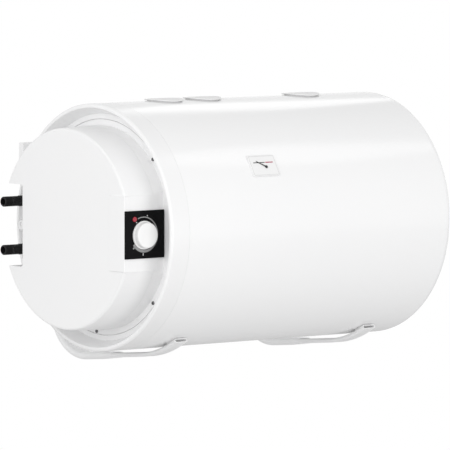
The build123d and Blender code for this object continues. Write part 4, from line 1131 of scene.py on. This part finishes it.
@dataclass
class PortCap:
    """White cap over a port: a thin disc, bent to the jacket, that stands out over a narrower neck."""

    node: str
    disc: float = 2.6 * MM
    edge: float = 0.8 * MM
    crown: float = 0.5 * MM
    overhang: float = 5.4 * MM
    edge_round: float = 0.3
    under_round: float = 0.5
    rings: int = 8
    steps: int = 96
    smooth_angle: float = 30.0

    def profile(self, radius: float, rise: float) -> list[Point]:
        """Return the half section, with height 0 at the middle of the top.

        Args:
            radius: Radius of the disc.
            rise: Height of the top above the jacket.

        Returns:
            Points as (radius, height), from the top's middle to the foot's middle.
        """
        flat = radius - self.edge
        neck = radius - self.overhang
        edge_step = self.edge * self.edge_round
        under_step = self.edge * self.under_round
        shares = [ring / self.rings for ring in range(self.rings + 1)]
        top = [(flat * share, -self.crown * share**2) for share in shares]
        rim = [
            (radius - edge_step, -self.crown - edge_step),
            (radius, -self.crown - self.edge),
            (radius, -self.disc + under_step),
            (radius - under_step, -self.disc),
            (neck + self.edge, -self.disc),
            (neck, -self.disc - self.edge),
        ]
        foot = [(neck * share, -rise) for share in reversed(shares)]
        return top + rim + foot

    def build(self, paints: Paintbox) -> bpy.types.Object:
        """Build the cap in place of the plain one.

        Args:
            paints: Finishes to dress with.

        Returns:
            The cap.
        """
        low, high = (Vector(corner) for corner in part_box(self.node))
        base, crest = (Vector(corner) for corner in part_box("jacket"))
        profile = self.profile((high.x - low.x) / 2, high.z - crest.z)
        piece = Bench.turned(f"{self.node}_crowned", profile, self.steps, hollow=False)
        # Each point sinks as far as the round jacket falls away below it.
        jacket_radius = (crest.z - base.z) / 2
        for spot in piece.data.vertices:
            spot.co.z -= jacket_radius - sqrt(jacket_radius**2 - spot.co.y**2)
        middle = ((low.x + high.x) / 2, (base.y + crest.y) / 2, high.z)
        Bench.settle(piece, Matrix.Translation(middle))
        Bench.smooth(piece, self.smooth_angle)
        paints.coat(piece, "cap_white")
        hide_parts(self.node)
        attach(piece, TANK_BODY)
        return piece


@dataclass(frozen=True)
class Lamp:
    """One soft lamp: where it hangs, the point it faces, its width and its power in watts."""

    name: str
    place: Point3
    aim: Point3
    size: float
    power: float

    def hang(self) -> None:
        """Hang the lamp in the scene."""
        data = bpy.data.lights.new(self.name, "AREA")
        data.size = self.size
        data.energy = self.power
        hung = bpy.data.objects.new(self.name, data)
        bpy.context.scene.collection.objects.link(hung)
        hung.location = self.place
        look = Vector(self.aim) - Vector(self.place)
        hung.rotation_euler = look.to_track_quat("-Z", "Y").to_euler()


LAMPS: tuple[Lamp, ...] = (
    Lamp("key", place=(-3.2, -2.6, 0.9), aim=(0.0, -0.3, 0.0), size=3.4, power=62.0),
    Lamp("front", place=(0.9, -4.0, -0.5), aim=(0.0, -0.3, 0.0), size=2.0, power=30.0),
    Lamp("back_left", place=(-3.4, 1.6, 0.4), aim=(0.0, -0.3, 0.0), size=2.0, power=11.0),
    Lamp("high_right", place=(2.06, -1.48, 2.37), aim=(0.0, -0.45, 0.15), size=0.8, power=2.4),
    Lamp("back_right", place=(1.93, 1.41, 1.8), aim=(0.0, -0.3, 0.25), size=0.75, power=1.8),
)


@dataclass
class Studio:
    """Pale floor, soft light and the camera."""

    floor_centre: Point = (0.0, -0.3)
    floor_level: float = -2.2
    floor_radius: float = 15.0
    floor_steps: int = 160
    floor_grey: float = 0.74
    floor_rough: float = 0.8
    camera_place: Point3 = (-8.65812, -10.53452, 0.93133)
    camera_turn: float = 40.0875
    camera_drop: float = 4.0242
    camera_lens: float = 514.48
    camera_sensor: float = 36.0
    camera_reach: float = 100.0
    white: float = 1.0
    fill: float = 0.675

    def floor(self) -> None:
        """Lay a round pale floor well below the hung tank."""
        Bench.clear()
        bpy.ops.mesh.primitive_circle_add(
            vertices=self.floor_steps,
            radius=self.floor_radius,
            fill_type="NGON",
            location=(*self.floor_centre, self.floor_level),
        )
        slab = Bench.named("studio_floor")
        paint = bpy.data.materials.new("studio_floor")
        paint.use_nodes = True
        shader = paint.node_tree.nodes["Principled BSDF"]
        grey = self.floor_grey
        shader.inputs["Base Color"].default_value = (grey, grey, grey, 1.0)
        shader.inputs["Roughness"].default_value = self.floor_rough
        slab.data.materials.append(paint)

    def world(self) -> None:
        """Make a world that is white to look at and an even fill to light by."""
        sky = bpy.data.worlds.new("studio")
        bpy.context.scene.world = sky
        sky.use_nodes = True
        tree = sky.node_tree
        tree.nodes.clear()
        seen = tree.nodes.new("ShaderNodeBackground")
        seen.inputs["Color"].default_value = (1.0, 1.0, 1.0, 1.0)
        seen.inputs["Strength"].default_value = self.white
        light = tree.nodes.new("ShaderNodeBackground")
        light.inputs["Color"].default_value = (1.0, 1.0, 1.0, 1.0)
        light.inputs["Strength"].default_value = self.fill
        path = tree.nodes.new("ShaderNodeLightPath")
        first = tree.nodes.new("ShaderNodeMath")
        first.operation = "MAXIMUM"
        tree.links.new(path.outputs["Is Camera Ray"], first.inputs[0])
        tree.links.new(path.outputs["Is Glossy Ray"], first.inputs[1])
        second = tree.nodes.new("ShaderNodeMath")
        second.operation = "MAXIMUM"
        tree.links.new(first.outputs[0], second.inputs[0])
        tree.links.new(path.outputs["Is Transmission Ray"], second.inputs[1])
        mix = tree.nodes.new("ShaderNodeMixShader")
        tree.links.new(second.outputs[0], mix.inputs[0])
        tree.links.new(light.outputs[0], mix.inputs[1])
        tree.links.new(seen.outputs[0], mix.inputs[2])
        out = tree.nodes.new("ShaderNodeOutputWorld")
        tree.links.new(mix.outputs[0], out.inputs["Surface"])

    def camera(self) -> None:
        """Place the camera at the photograph's angle."""
        data = bpy.data.cameras.new("photo_camera")
        data.sensor_fit = "HORIZONTAL"
        data.sensor_width = self.camera_sensor
        data.lens = self.camera_lens
        data.clip_end = self.camera_reach
        eye = bpy.data.objects.new("photo_camera", data)
        bpy.context.scene.collection.objects.link(eye)
        turn = radians(self.camera_turn)
        drop = radians(self.camera_drop)
        look = Vector((cos(drop) * sin(turn), cos(drop) * cos(turn), -sin(drop)))
        eye.location = self.camera_place
        eye.rotation_euler = look.to_track_quat("-Z", "Y").to_euler()
        bpy.context.scene.camera = eye

    def build(self) -> None:
        """Set up the whole studio."""
        bpy.context.scene.view_settings.view_transform = "Standard"
        self.floor()
        self.world()
        for lamp in LAMPS:
            lamp.hang()
        self.camera()


def main() -> None:
    """Build and dress the heater, then set up the studio."""
    logging.basicConfig(level=logging.INFO, format="%(name)s: %(message)s")
    paints = Paintbox()
    Casing().dress(paints)
    Brackets().dress(paints)
    Works().dress(paints)
    for piece in ControlPanel().build(paints) + Thermometer().build(paints):
        LOG.info("piece %s", piece.name)
    for node in ("cold_inlet_nipple", "hot_outlet_nipple"):
        LOG.info("piece %s", WaterNipple(node).build(paints).name)
    for node in ("left_port_cap", "middle_port_cap", "right_port_cap"):
        LOG.info("piece %s", PortCap(node).build(paints).name)
    Studio().build()


if __name__ == "__main__":
    main()
